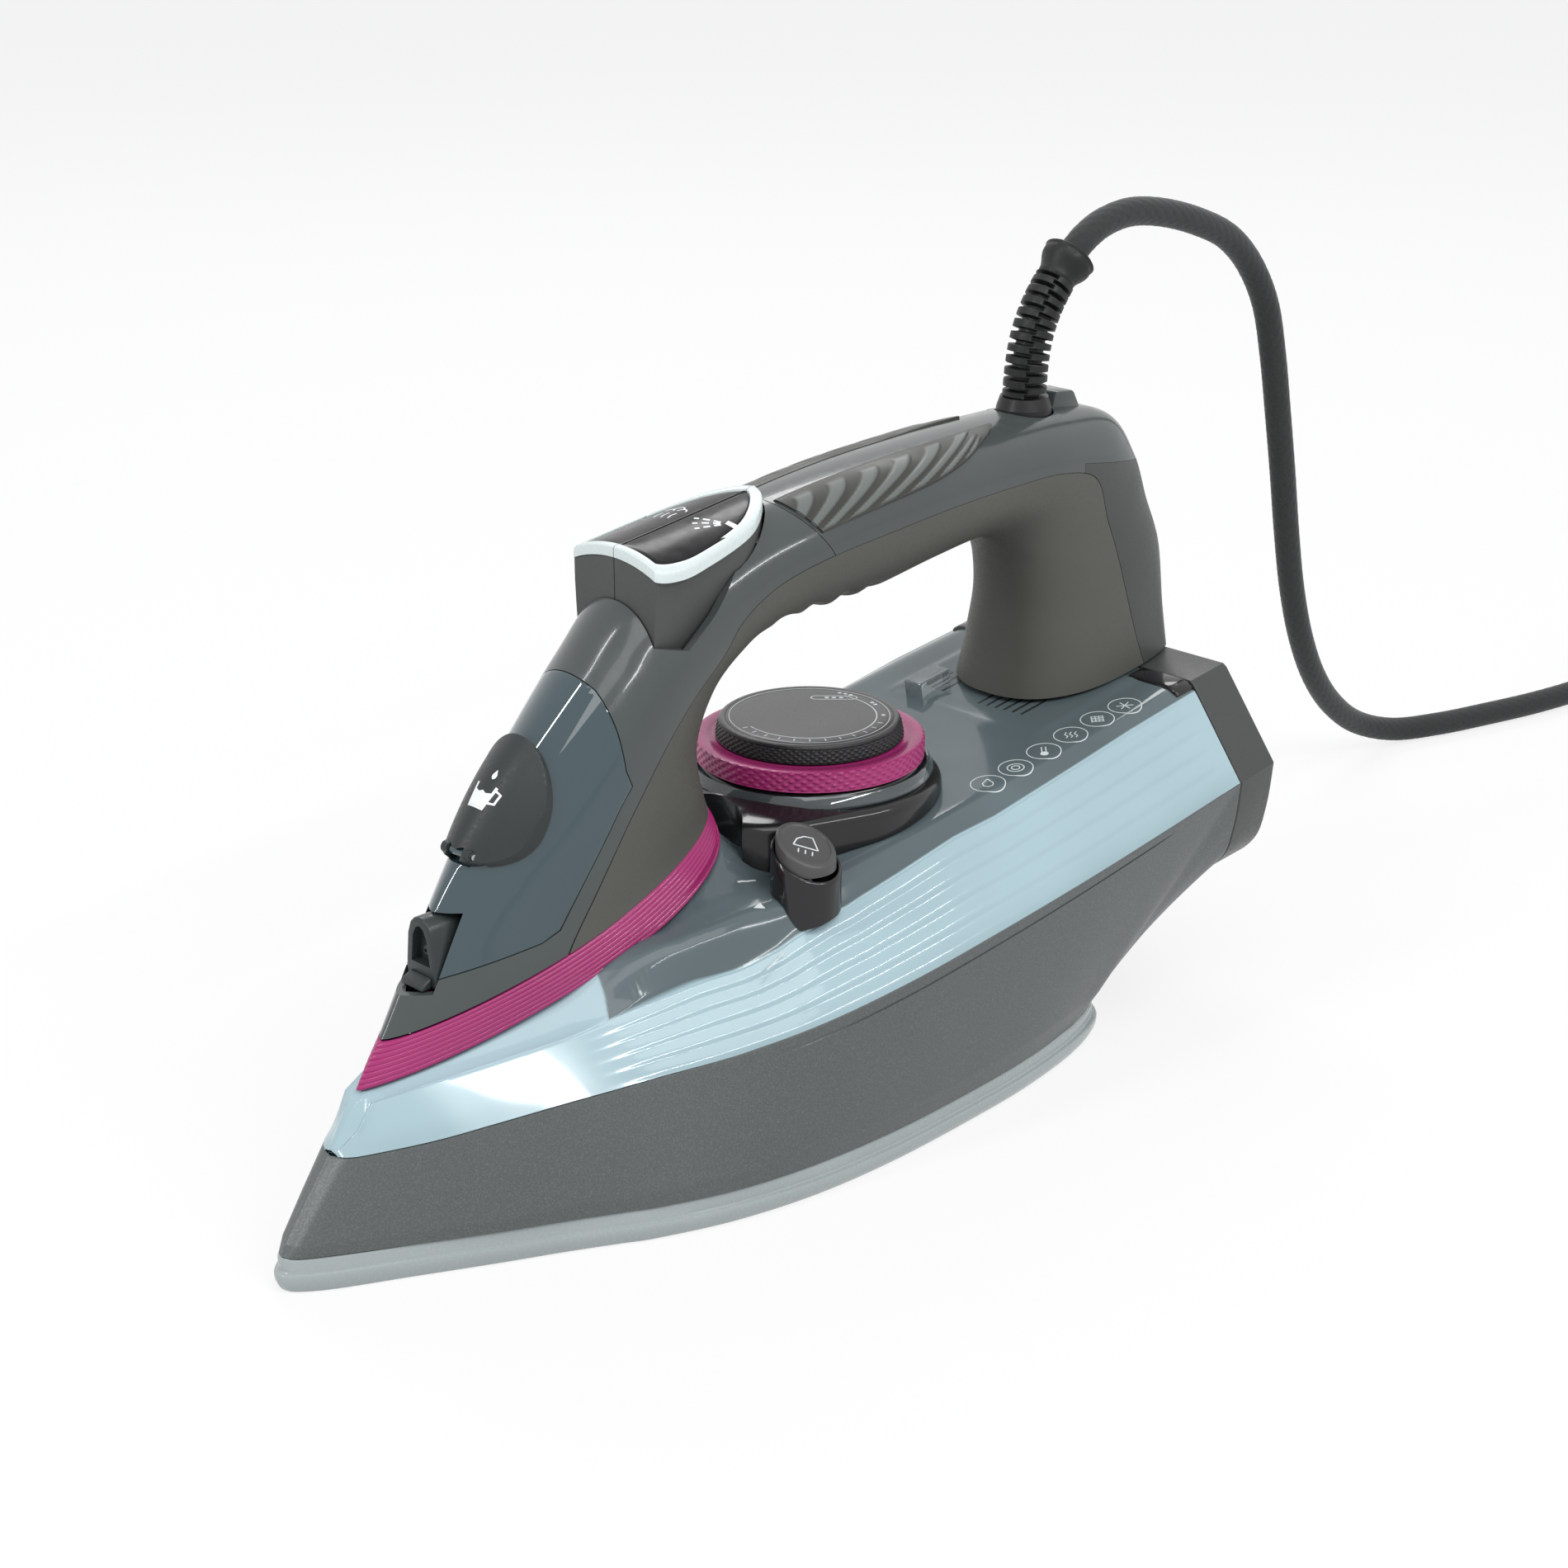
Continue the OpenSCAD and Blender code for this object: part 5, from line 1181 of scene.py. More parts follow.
class IRON_OT_tank(bpy.types.Operator):
    """Water tank skin: pale stepped sides and nose where the inner tank's colour shows, and a smoky
    top
    """
    bl_idname = "iron.tank"
    bl_label = "Tank"

    def execute(self, context):
        mats = finishes()
        tip = TANK_NOSE_X + TANK_L * np.array([0.003, 0.007, 0.013, 0.022, 0.035, 0.05])
        xs = np.concatenate([tip, np.linspace(TANK_NOSE_X + 0.065 * TANK_L, -52, 26),
                             np.linspace(-51.2, -30, 66), np.linspace(-29.4, 24, 50)[:-1],
                             np.linspace(24, COVER_X - 0.4, 54)])
        grid = np.array([[(p[0], -p[1], p[2]) for p in side] + top + side[::-1]
                         for side, top in zip(self.side_columns(xs), self.top_rows(xs))])
        shell = sheet_object("tank_skin", grid, self.level(grid, inwards(grid, WALL)))
        for at, r in (((50.5, 0), 7.0), ((14, -35), 2.4), ((-10, 5.7), 2.4), ((-10, -5.7), 2.4)):
            carve(shell, turned("hole", [(r, 40), (r, 120)], at, 40))
        settle(shell, mats["tank_top_skin"], "root", ("tank_shell",), sharp=50)
        shell.data.materials.append(mats["tank_side_skin"])
        self.paint(shell)
        return {"FINISHED"}

    def side_columns(self, xs):
        """Far to near outline of one side, from the parting line up to the crease."""
        step = sizes().side_step / MM
        columns = []
        for x in xs:
            wp, wc, zp, zc = crease_point(x)
            low, high = np.array([wp, zp + 0.2]), np.array([wc, zc])
            run = high - low
            size = np.linalg.norm(run)
            out = unit(np.array([run[1], -run[0]])) if size > 1e-6 else np.array([1.0, 0])
            if out[0] < 0:
                out = -out
            fade = smooth(x, -52, -10) * (1 - smooth(x, 149, 156))
            column = []
            for a, b in zip(STEP_EDGES[:-1], STEP_EDGES[1:]):
                for q in (0.0, 0.08, 0.18, 0.3, 0.5, 0.7, 0.88):
                    v = a + (b - a) * q
                    high_part = smooth(q, 0.0, 0.32) * (1 - 0.9 * smooth(q, 0.3, 1.0))
                    column.append((v, -step * (1 - high_part) * fade))
            column += [(0.985, -0.15), (1.0, -0.1)]
            columns.append([(x, *(low + v * run + lift * out)) for v, lift in column])
        return columns

    def top_rows(self, xs):
        rows = []
        for x in xs:
            wc = crease_point(x)[1]
            shares = np.concatenate([[0.012, 0.035, 0.07, 0.11, 0.16, 0.22],
                                     np.linspace(0.28, 1, 26)])
            near = [(x, -y, top_height(x, y) + self.plateau(x, y)) for y in wc * (1 - shares)]
            rows.append(near + [(p[0], -p[1], p[2]) for p in near[-2::-1]])
        return rows

    def plateau(self, x, y):
        """Slightly raised pad under the rear leg."""
        front, side = smooth(x, 109, 111.5), 1 - smooth(abs(y), 26, 28)
        return PAD_RISE * front * side * (x < 153)

    def level(self, outer, inner):
        inner[..., 0] = outer[..., 0]
        low = outer[..., 2].min(1, keepdims=True)
        inner[..., 2] = np.maximum(inner[..., 2], low)
        return inner

    def paint(self, shell):
        """Sides and nose show the pale inner tank, the rest of the top is smoky; the sides carry
        painted shade towards the parting line.
        """
        me = shell.data
        for f in me.polygons:
            x, y, z = (c / MM for c in f.center)
            _, wc, _, zc = crease_point(min(max(x, TANK_NOSE_X + 1), COVER_X - 0.5))
            side = z < zc + 0.02 and abs(y) > wc - 0.25
            f.material_index = 1 if side else 0

        run = np.linspace(TANK_NOSE_X + 1, COVER_X - 0.5, 300)
        crease = np.array([crease_point(x) for x in run])

        def rule(x, y, z):
            edge = np.interp(np.abs(y), *SMOKE_EDGE)
            low = z - parting_z(x)
            on_side = z < np.interp(x, run, crease[:, 3]) + 0.02
            on_side &= np.abs(y) > np.interp(x, run, crease[:, 1]) - 0.1
            # On the sides the tone falls from 1 to 0.65 over the lowest 6 mm: painted shade by the
            # joint with the skirt
            return np.where(on_side, smooth(low, 0.5, 6) * 0.35 + 0.65,
                            1 - smooth(x, edge - 0.3, edge + 0.3))
        tone_by(shell, rule)


class IRON_OT_band(bpy.types.Operator):
    """Ribbed coloured band between tank and handle"""
    bl_idname = "iron.band"
    bl_label = "Band"

    def execute(self, context):
        low, high = ring_at(BAND_ROW, 90)[::-1], ring_at(SHELL_ROW - 0.04, 90)[::-1]
        rib = sizes().band_rib / MM
        shares = np.linspace(0, 1, 65)
        rows = []
        for a, b in zip(low, high):
            out = unit(a - np.array([-40, 0, a[2]]))
            row = []
            for v in shares:
                wave = rib * (1.1 * abs(math.sin(math.pi * BAND_RIBS * v)) ** 0.6 - 0.9)
                edge = 0.3 * (1 - smooth(v, 0, 0.04)) + 0.3 * smooth(v, 0.96, 1)
                row.append(a + v * (b - a) + (0.4 * math.sin(math.pi * v) + wave - edge) * out)
            rows.append(row)
        grid = np.array(rows)
        band = sheet_object("band_ribbed", grid, inwards(grid, 1.8, True), True)
        settle(band, finishes()["band_plastic"], "root", ("band_seal",), sharp=40)
        tone_of(band, np.full(len(band.data.vertices), 0.2))
        return {"FINISHED"}


# ---------------------------------------------------------------- handle
WINDOW_LINE = [(-86, 64.4), (-75, 66.9), (-65, 68.9), (-54, 71), (-49, 73.2), (-41.7, 83.7),
               (-30.6, 99.2), (-26.6, 103.8), (-28.2, 108), (-28.9, 117), (-30, 126.5), (-32, 131)]
WINDOW_CUT = [(-100, 63.6), *WINDOW_LINE, (-45, 140), (-100, 120)]
POD_X, POD_Z, POD_TILT, POD_FOOT, POD_ARCH, POD_W, RIM_T = -15.6, 151.0, 7.4, 129.0, 36.0, 28.8, 2.7
CLEAR, SEAM, PUMP_Y, HUB_X = 0.4, 0.3, 5.7, 132
POD_LINE = [[0, 0], [0, 0.5], [0, 1], [7, 1.18], [17, 1.14], [27, 1.04], [34, 0.9], [40, 0.64],
            [44.5, 0.33], [46.8, 0]]
NOZZLE_X, NOZZLE_FOOT, NOZZLE_TOP, JET_Z = -78.0, 63.5, 80.3, 71.5
NOZZLE_DEEP, NOZZLE_HALF = 10, 5.6
SPLIT_LINE = [(136, 152.1), (190, 142.9)]
DIAL_X, RING_Z, RING_H, RING_D, KNOB_D, KNOB_H, KNOB_Z = 50.5, 87.4, 5.5, 60.0, 47.0, 4.8, 92.9
FLAP_SLOPE, FLAP_AXIS, FLAP_MID = 46.6, (-65.35, 93.25), (-55.66, 103.49)


def side_point(p):
    """A point read in side view against the drawn crease, put on the iron."""
    return (p[0], crease_z(p[0]) + p[1] - (66.7 + 0.1366 * p[0]))


def arch_z(x, y, d):
    """Height of the pod's arched top, lowered by d."""
    t = math.radians(POD_TILT)
    w = math.sqrt(max(POD_ARCH ** 2 - y * y, 0)) - POD_ARCH - d
    u = (x - POD_X + w * math.sin(t)) / math.cos(t)
    return POD_Z + RIM_T + 3 + u * math.sin(t) + w * math.cos(t)


def pod_point(p, inset):
    shift = inset if p[0] < 24 else -inset
    return (POD_X + max(p[0] + shift, inset), max(p[1] * POD_W / 2 - inset, 0))


def pod_half(inset, per=6, grow=0.0):
    """Half outline of the pod from front middle to rear tip."""
    return [pod_point(p, inset - grow) for p in spline(POD_LINE, per)]


def pod_half_width(z):
    return POD_W / 2 - 1 + 0.058 * (z - POD_FOOT)


def nozzle_room(low):
    """The room for the spray nozzle in the nose, open at the front."""
    back, top = NOZZLE_X + NOZZLE_DEEP + CLEAR, NOZZLE_TOP + CLEAR
    return prism_across("nozzle_room", [(-96, low), (back, low), (back, top), (-96, top)],
                        NOZZLE_HALF + CLEAR)


def shell_finish(obj, name, body="root", replaces=(), sharp=40):
    return settle(obj, finishes()[name], body, replaces, sharp)


class IRON_OT_handle(bpy.types.Operator):
    """Glossy and matte handle shells with ripples, split lines and the rear fin"""
    bl_idname = "iron.handle"
    bl_label = "Handle"

    def execute(self, context):
        self.front()
        self.top()
        self.grip()
        self.leg()
        return {"FINISHED"}

    def front(self):
        grid = shell_grid(SHELL_ROW, COLLAR_ROW, 90, 30, 0.004)
        shell = sheet_object("front_shell_skin", grid, inwards(grid, WALL))
        line = [side_point(p) for p in WINDOW_CUT]
        carve(shell, prism_across("window_cut", line, 40))
        pod_cut = [(POD_X - CLEAR, 172), (POD_X - CLEAR, 134.6), (-7.8, 133), (0.6, 139.6),
                   (8, 146.4), (15.2, 152.6), (21, 157.4), (28, 172)]
        carve(shell, prism_across("pod_cut", pod_cut, 40))
        low, high = POD_FOOT - 2.4 - CLEAR, 153
        for s in (-1, 1):
            rings = []
            for z in (low, high):
                half = [(x, s * min(max(y, SEAM / 2 - CLEAR), pod_half_width(z) + CLEAR), z)
                        for x, y in pod_half(0.1, 3, CLEAR)]
                rings.append(half)
            carve(shell, stack_object("pod_void", rings))
        outline = [(x, y) for x, y in pod_half(0, 3, CLEAR)]
        whole = outline + [(x, -y) for x, y in reversed(outline[1:-1])]
        rings = [[(x, y, arch_z(x, 0, 0) - 8.2) for x, y in whole], [(x, y, 190) for x, y in whole]]
        carve(shell, stack_object("pod_top_void", rings))
        carve(shell, nozzle_room(NOZZLE_FOOT - CLEAR))
        shell_finish(shell, "shell_gloss", replaces=("front_shell",))

    def top(self):
        grid = shell_grid(COLLAR_ROW + 0.01, 19, 100, 26, 0.002)
        shell = sheet_object("top_shell_skin", grid, inwards(grid, WALL))
        carve(shell, prism_across("split", [*SPLIT_LINE, (190, 60), (136, 60)], 40))
        carve(shell, turned("socket_hole", [(9.9, 140), (9.9, 180)], (HUB_X, 0), 64))
        side = [(138.6, 163), (140, 167.6), (140.6, 168.4), (147.2, 167.8), (148, 167.2),
                (150.4, 163), (150, 161), (138.6, 161)]
        fin = prism_across("fin", side, 4.2)
        cut_fin = joined([shell, softened(fin, 0.5), self.bezel()], "top_shell_skin")
        shell_finish(cut_fin, "shell_gloss", replaces=("top_cover",))

    def bezel(self):
        """Ring of shell between the socket hole and the hub, following the handle's top."""
        rows = []
        for k in range(97):
            a = 2 * math.pi * k / 96
            ring = []
            for r in (7.95, 8.1, 8.6, 9.3, 10.1):
                x, y = HUB_X + r * math.cos(a), r * math.sin(a)
                z = lookup(x, [122, 132, 138, 142], [164.9, 164.8, 164.6, 164.2]) - 0.0182 * y * y
                ring.append((x, y, z - (0.2 if r < 8 else 0.02)))
            rows.append(ring)
        g = np.array(rows)
        return sheet_object("bezel", g, g - np.array([0, 0, 0.35]))

    def grip(self):
        m = 220
        grid = shell_grid(SHELL_ROW, FOOT_ROW, m, 30, 0.002, under=True)
        depth = sizes().ripple / MM
        n = grid.shape[1]
        out = normals_of(grid)
        for i in range(m + 1):
            x = grid[i, n // 2][0]
            window = smooth(x, 16, 26) * (1 - smooth(x, 58, 68))
            if window <= 0 or SHELL_ROW + (FOOT_ROW - SHELL_ROW) * i / m > 15:
                continue
            wave = math.cos(2 * math.pi * (x - 20) / 9.6)
            for j in range(n):
                s = abs(j - n // 2) / (n // 2)
                share = window * (1 - smooth(s, 0.3, 0.72))
                grid[i, j] = grid[i, j] - out[i, j] * depth * share * (0.5 - 0.5 * wave)
        shell = sheet_object("grip_skin", grid, inwards(grid, WALL))
        shell_finish(shell, "shell_matte", replaces=("handle_grip",))

    def leg(self):
        grid = shell_grid(14.2, FOOT_ROW, 70, 22, 0.002)
        shell = sheet_object("leg_skin", grid, inwards(grid, WALL))
        cut = [(136.1, 100), (136.1, 152.0), (190, 142.8), (190, 220), (100, 220), (100, 100)]
        carve(shell, prism_across("leg_cut", cut, 40))
        shell_finish(shell, "rear_satin", replaces=("leg_back",))


INLAY_TOP = 0.014
INLAY_EDGE = [[10.2, 0.235], [11, 0.225], [11.7, 0.205], [12.2, 0.15], [12.6, 0.07], [12.9, 0.02]]


class IRON_OT_inlay(bpy.types.Operator):
    """Dark leaf beside the top of the grip with pale curved ribs"""
    bl_idname = "iron.inlay"
    bl_label = "Grip inlay"

    def execute(self, context):
        mats = finishes()
        pieces = []
        for s in (-1, 1):
            edge = spline(INLAY_EDGE, 36)
            n = 40
            rows, lifts = [], []
            for q in edge:
                r = row_at(STATIONS, q[0])
                rows.append([section_point(r, INLAY_TOP + (q[1] - INLAY_TOP) * (j / n) ** 1.7, s)
                             for j in range(n + 1)])
                lifts.append([self.rib(q[0], j / n) for j in range(n + 1)])
            g, lift = np.array(rows), np.array(lifts)
            if s < 0:
                g, lift = g[:, ::-1], lift[:, ::-1]
            out = normals_of(g)
            rise = smooth(np.linspace(0, 1, n + 1), 0.0, 0.16)
            if s < 0:
                rise = rise[::-1]
            height = 0.12 + 0.5 * rise[None, :] + sizes().inlay_rib / MM * lift
            outer = g + out * height[..., None]
            piece = sheet_object("inlay", outer, g + out * 0.02)
            tone_of(piece, np.concatenate([lift, lift]))
            pieces.append(piece)
        leaf = joined(pieces, "inlay_leaf")
        settle(leaf, mats["inlay_skin"], "root", ("grip_inlay",), sharp=50)
        return {"FINISHED"}

    def rib(self, t, v):
        """Height of the ribs: arcs that fan from the collar's lower end to the rear."""
        u = (t - 10.2) / 2.7
        lean = u + 0.36 * v ** 1.6 - 0.1 * math.sin(math.pi * v)
        phase = (lean * 6.6 + 0.35) % 1.0
        mid = smooth(phase, 0.42, 0.5) * (1 - smooth(phase, 0.9, 0.98))
        ends = smooth(v, 0.2, 0.34) * (1 - smooth(v, 0.93, 0.99))
        return mid * ends * (1 - smooth(u, 0.84, 0.9))


class IRON_OT_window(bpy.types.Operator):
    """Clear filler window of the nose"""
    bl_idname = "iron.window"
    bl_label = "Filler window"

    def execute(self, context):
        grid = shell_grid(1.3, 7.2, 74, 28, 0.0107)
        line = [side_point((p[0] - (SEAM if i > 4 else 0), p[1] + (SEAM if i < 6 else 0)))
                for i, p in enumerate(WINDOW_CUT)]
        pane = sheet_object("window_pane", grid, inwards(grid, WALL))
        outside = prism_across("outside", line + [(-100, 150), (30, 150), (30, 50), (-100, 50)], 40)
        carve(pane, outside)
        carve(pane, nozzle_room(60))
        hinge = slope_frame(FLAP_AXIS, FLAP_SLOPE)
        oval = [(0.5 + (3 if x > 0 else -3) + x, y) for x, y in circle(9.5, 80)]
        room = stack_object("room", [[(x, y, z) for x, y in oval] for z in (-20, 20)])
        carve(pane, moved(room, slope_frame(FLAP_MID, FLAP_SLOPE)))
        carve(pane, moved(rod_across(15, 2.7), hinge))
        pane = softened(pane, 0.25, 2, 60)
        boss = rod_across(4.4, 1.1)
        pane = joined([pane, moved(boss, hinge)], "window_pane")
        settle(pane, finishes()["window_plastic"], "root", ("filler_window",),
               sharp=40)
        return {"FINISHED"}


# ---------------------------------------------------------------- buttons
class IRON_OT_buttons(bpy.types.Operator):
    """Spray and steam buttons with pale rims and gloss caps"""
    bl_idname = "iron.buttons"
    bl_label = "Buttons"

    def execute(self, context):
        for s, body, word in ((1, "steam_key", "steam"), (-1, "spray_key", "spray")):
            self.body(s, body, word)
            self.rim(s, body, word)
            self.cap(s, body, word)
        return {"FINISHED"}

    def body(self, s, body, word):
        outline = [(x, y) for x, y in pod_half(0.1, 8)]
        rings = []
        for q in (0, 0.012, 0.03, 0.25, 0.5, 0.75, 0.985, 1.0):
            ring = []
            for x, y in outline:
                foot = POD_FOOT + max((x - 4) * 17.5 / 36, 0)
                w = min(max(y, SEAM / 2), pod_half_width(foot))
                top = arch_z(x, w, RIM_T + 0.05)
                z = foot + q * (top - foot)
                w = min(max(y, SEAM / 2), pod_half_width(z))
                trim = 0.35 * (1 - min(q / 0.03, 1)) + 0.25 * smooth(q, 0.985, 1)
                ring.append((x + (trim if x < 5 else -trim), s * max(w - trim, SEAM / 2), z))
            rings.append(ring)
        obj = stack_object(word + "_button_body", rings)
        stem = turned("stem", [(2.0, POD_FOOT - 18), (2.0, POD_FOOT + 1)], (-10, s * PUMP_Y), 32)
        obj = joined([obj, stem], word + "_button_body")
        shell_finish(obj, "pod_matte", body, (word + "_button",), 35)

    def rim(self, s, body, word):
        profile = [(0.0, RIM_T), (0.0, 0.9), (0.12, 0.35), (0.5, 0.05), (1.1, 0.0), (1.7, 0.03),
                   (2.1, 0.2), (2.2, 0.6), (2.2, RIM_T)]
        rings = []
        for k in range(len(pod_half(0, 8))):
            ring = []
            for inset, d in profile:
                x, y = pod_half(inset, 8)[k]
                y = max(y, SEAM / 2)
                ring.append((x, s * y, arch_z(x, y, d)))
            rings.append(ring)
        obj = stack_object(word + "_button_rim", rings)
        shell_finish(obj, "rim_pale", body, (word + "_rim",), 35)

    def cap(self, s, body, word):
        outline = pod_half(2.25, 8)
        mid = (3.0, 7.0)
        rings = []
        for f, d in ((1.0, RIM_T), (1.0, 1.0), (0.993, 0.72), (0.97, 0.56), (0.9, 0.5),
                     (0.75, 0.5), (0.55, 0.5), (0.35, 0.5), (0.15, 0.5), (0.02, 0.5)):
            ring = []
            for x, y in outline:
                y = max(y, SEAM / 2)
                px, py = mid[0] + f * (x - mid[0]), mid[1] + f * (y - mid[1])
                py = max(py, SEAM / 2)
                ring.append((px, s * py, arch_z(px, py, d)))
            rings.append(ring)
        obj = stack_object(word + "_button_cap", rings)
        shell_finish(obj, "cap_gloss", body, (word + "_cap",), 35)


# ---------------------------------------------------------------- filler flap and nozzle
def slope_frame(at, degrees):
    """Placement whose local x runs up a slope in side view and local z away from it."""
    turn = Matrix.Rotation(math.radians(-degrees), 4, "Y")
    return Matrix.Translation(Vector((at[0], 0, at[1])) * MM) @ turn


def lying(obj, at):
    """Turn an upright piece to point along the iron and put it at a place."""
    return moved(obj, Matrix.Translation(Vector(at) * MM) @ Matrix.Rotation(math.pi / 2, 4, "Y"))


def moved(obj, matrix):
    obj.data.transform(matrix)
    return obj


def on_surface(tree, at, across, along, out, reach=30.0):
    """Maps flat (u, v, lift) to a surface below a plane at a point with three directions."""
    at, across, along, out = (Vector(v) for v in (at, across, along, out))

    def place(u, v, lift):
        p = at + across * u + along * v
        hit = tree.ray_cast(p + out * reach, -out)[0]
        if hit is None:
            hit = tree.find_nearest(p)[0]
        return tuple(hit + out * lift)
    return place


class IRON_OT_flap(bpy.types.Operator):
    """Domed filler flap on its pin"""
    bl_idname = "iron.flap"
    bl_label = "Filler flap"

    def execute(self, context):
        base = shell_grid(3.6, 6.6, 60, 30, -0.02)
        crown = inwards(base, -2.0)
        frame_at = slope_frame(FLAP_MID, FLAP_SLOPE)
        back = frame_at.inverted()
        local = np.array([[tuple((back @ (Vector(p) * MM)) / MM) for p in row] for row in crown])
        rho = np.sqrt((local[..., 0] / 16.5) ** 2 + (local[..., 1] / 13.0) ** 2)
        lift = 0.9 * np.clip(1 - rho ** 2, 0, 1)
        out = normals_of(base)
        outer = crown + out * lift[..., None]
        flap = sheet_object("filler_flap_dome", outer, crown - out * 1.6)
        oval = [(16.5 * math.copysign(abs(c) ** 0.92, c), 13 * math.copysign(abs(s) ** 0.92, s))
                for c, s in circle(1, 96)]
        outside = stack_object("oval", [[(x, y, z) for x, y in oval] for z in (-20, 40)])
        carve(flap, moved(outside, frame_at), operation="INTERSECT")
        hinge = slope_frame(FLAP_AXIS, FLAP_SLOPE)
        behind = moved(block((-10, -20, -10), (0, 20, 10)), hinge)
        carve(behind, moved(rod_across(40, 2.4), hinge))
        carve(flap, behind)
        carve(flap, moved(block((-10, -2.6, -10), (0, 2.6, 10)), hinge))
        carve(flap, moved(rod_across(5.2, 1.9), hinge))
        flap = softened(flap, 0.3, 2, 50)
        knuckles = []
        for y in (-4, 4):
            ring = rod_across(2, 1.5)
            carve(ring, rod_across(4, 0.72))
            knuckles.append(moved(ring, hinge @ Matrix.Translation(Vector((0, y, 0)) * MM)))
        flap = joined([flap, *knuckles], "filler_flap_dome")
        shell_finish(flap, "flap_matte", "flap", ("filler_flap",), 35)
        x, z = math.cos(math.radians(FLAP_SLOPE)), math.sin(math.radians(FLAP_SLOPE))
        place = on_surface(surface_tree(outer), (FLAP_MID[0], 0, FLAP_MID[1]),
                           (0, -1, 0), (x, 0, z), (-z, 0, x))
        printed("jug_mark", self.jug(), place, finishes()["ink_pale"], "flap")
        return {"FINISHED"}

    def jug(self):
        """Plain pictogram: an open cup of water with a drop over it."""
        cup = [(-3.3, 2.6), (-2.3, -3.4), (2.3, -3.4), (3.3, 2.6)]
        shapes = stroke(cup, 0.75)
        shapes += [[(-2.75, 0.9), (-2.05, -3.1), (2.05, -3.1), (2.75, 0.9), (1.2, 0.4), (0, 0.9),
                    (-1.2, 0.4)]]
        shapes += stroke([(3.1, 1.9), (4.9, 1.4), (4.5, -1.2), (2.8, -1.6)], 0.6)
        shapes += [[(0.9, 4.0), (1.5, 4.5), (1.6, 5.2), (0.9, 6.6), (0.2, 5.2), (0.3, 4.5)]]
        return shapes


class IRON_OT_nozzle(bpy.types.Operator):
    """Spray nozzle hood at the nose with its jet"""
    bl_idname = "iron.nozzle"
    bl_label = "Spray nozzle"

    def execute(self, context):
        half = [(0, 0), (0, 5.5), (5, 5.3), (12, 4.5), (15, 3.4), (16.3, 2),
                (NOZZLE_TOP - NOZZLE_FOOT, 0)]
        line = half + [(z, -y) for z, y in reversed(half[1:-1])]
        hood = stack_object("hood", [[(NOZZLE_X + x, y, NOZZLE_FOOT + z) for z, y in line]
                                     for x in (0, NOZZLE_DEEP)])
        hood = softened(hood, 0.45, 3, 40)
        inner = [(68.6, 0), (68.6, 3.4), (75.5, 2.5), (77.6, 1.3), (78.2, 0)]
        loop = inner + [(z, -y) for z, y in reversed(inner[1:-1])]
        carve(hood, stack_object("mouth", [[(NOZZLE_X + x, y, z) for z, y in loop]
                                           for x in (-1, 2.6)]))
        bore = turned("bore", [(1.5, -1), (1.5, 30)], steps=32)
        carve(hood, lying(bore, (NOZZLE_X - 1, 0, JET_Z)))
        lip = prism_across("lip", [(NOZZLE_X - 3.2, NOZZLE_FOOT),
                                   (NOZZLE_X - 2.8, NOZZLE_FOOT + 1.4),
                                   (NOZZLE_X, NOZZLE_FOOT + 2.8), (NOZZLE_X, NOZZLE_FOOT)], 4)
        nozzle = joined([hood, softened(lip, 0.5, 3, 40)], "spray_nozzle_hood")
        shell_finish(nozzle, "nozzle_satin", "root", ("spray_nozzle",), 35)
        profile = [(0.5, 0.9), (0.5, 0.0), (0.9, 0.0), (1.35, 0.3), (1.45, 0.8), (1.45, 6.0),
                   (0.5, 6.0)]
        tip = turned("jet", profile, steps=40)
        lying(tip, (NOZZLE_X + 1.6, 0, JET_Z))
        shell_finish(tip, "nozzle_satin", "root", ("nozzle_tip",), 35)
        return {"FINISHED"}


# ---------------------------------------------------------------- dial and self-clean button
READ_COS, READ_SIN = 0.7093, 0.7049  # turn of the marks that read from the near front corner
CLEAN_AT, CLEAN_TILT, CLEAN_TOP, CLEAN_D = (14.0, -35.0), 26.0, 82.5, 15.0
BASE_D, HUB_D, SHAFT_D = 69.0, 16.0, 5.0


def hull_reach(angle, r0=BASE_D / 2, centre=(26 - DIAL_X, -9), r1=18.0):
    """Distance from the dial's axis to the outline of its base."""
    best = r0
    d = np.array([math.cos(angle), math.sin(angle)])
    for k in range(33):
        f = k / 32
        c = f * np.array(centre)
        r = r0 + f * (r1 - r0)
        b = float(d @ c)
        inside = b * b - float(c @ c) + r * r
        if inside > 0:
            best = max(best, b + math.sqrt(inside))
    return best


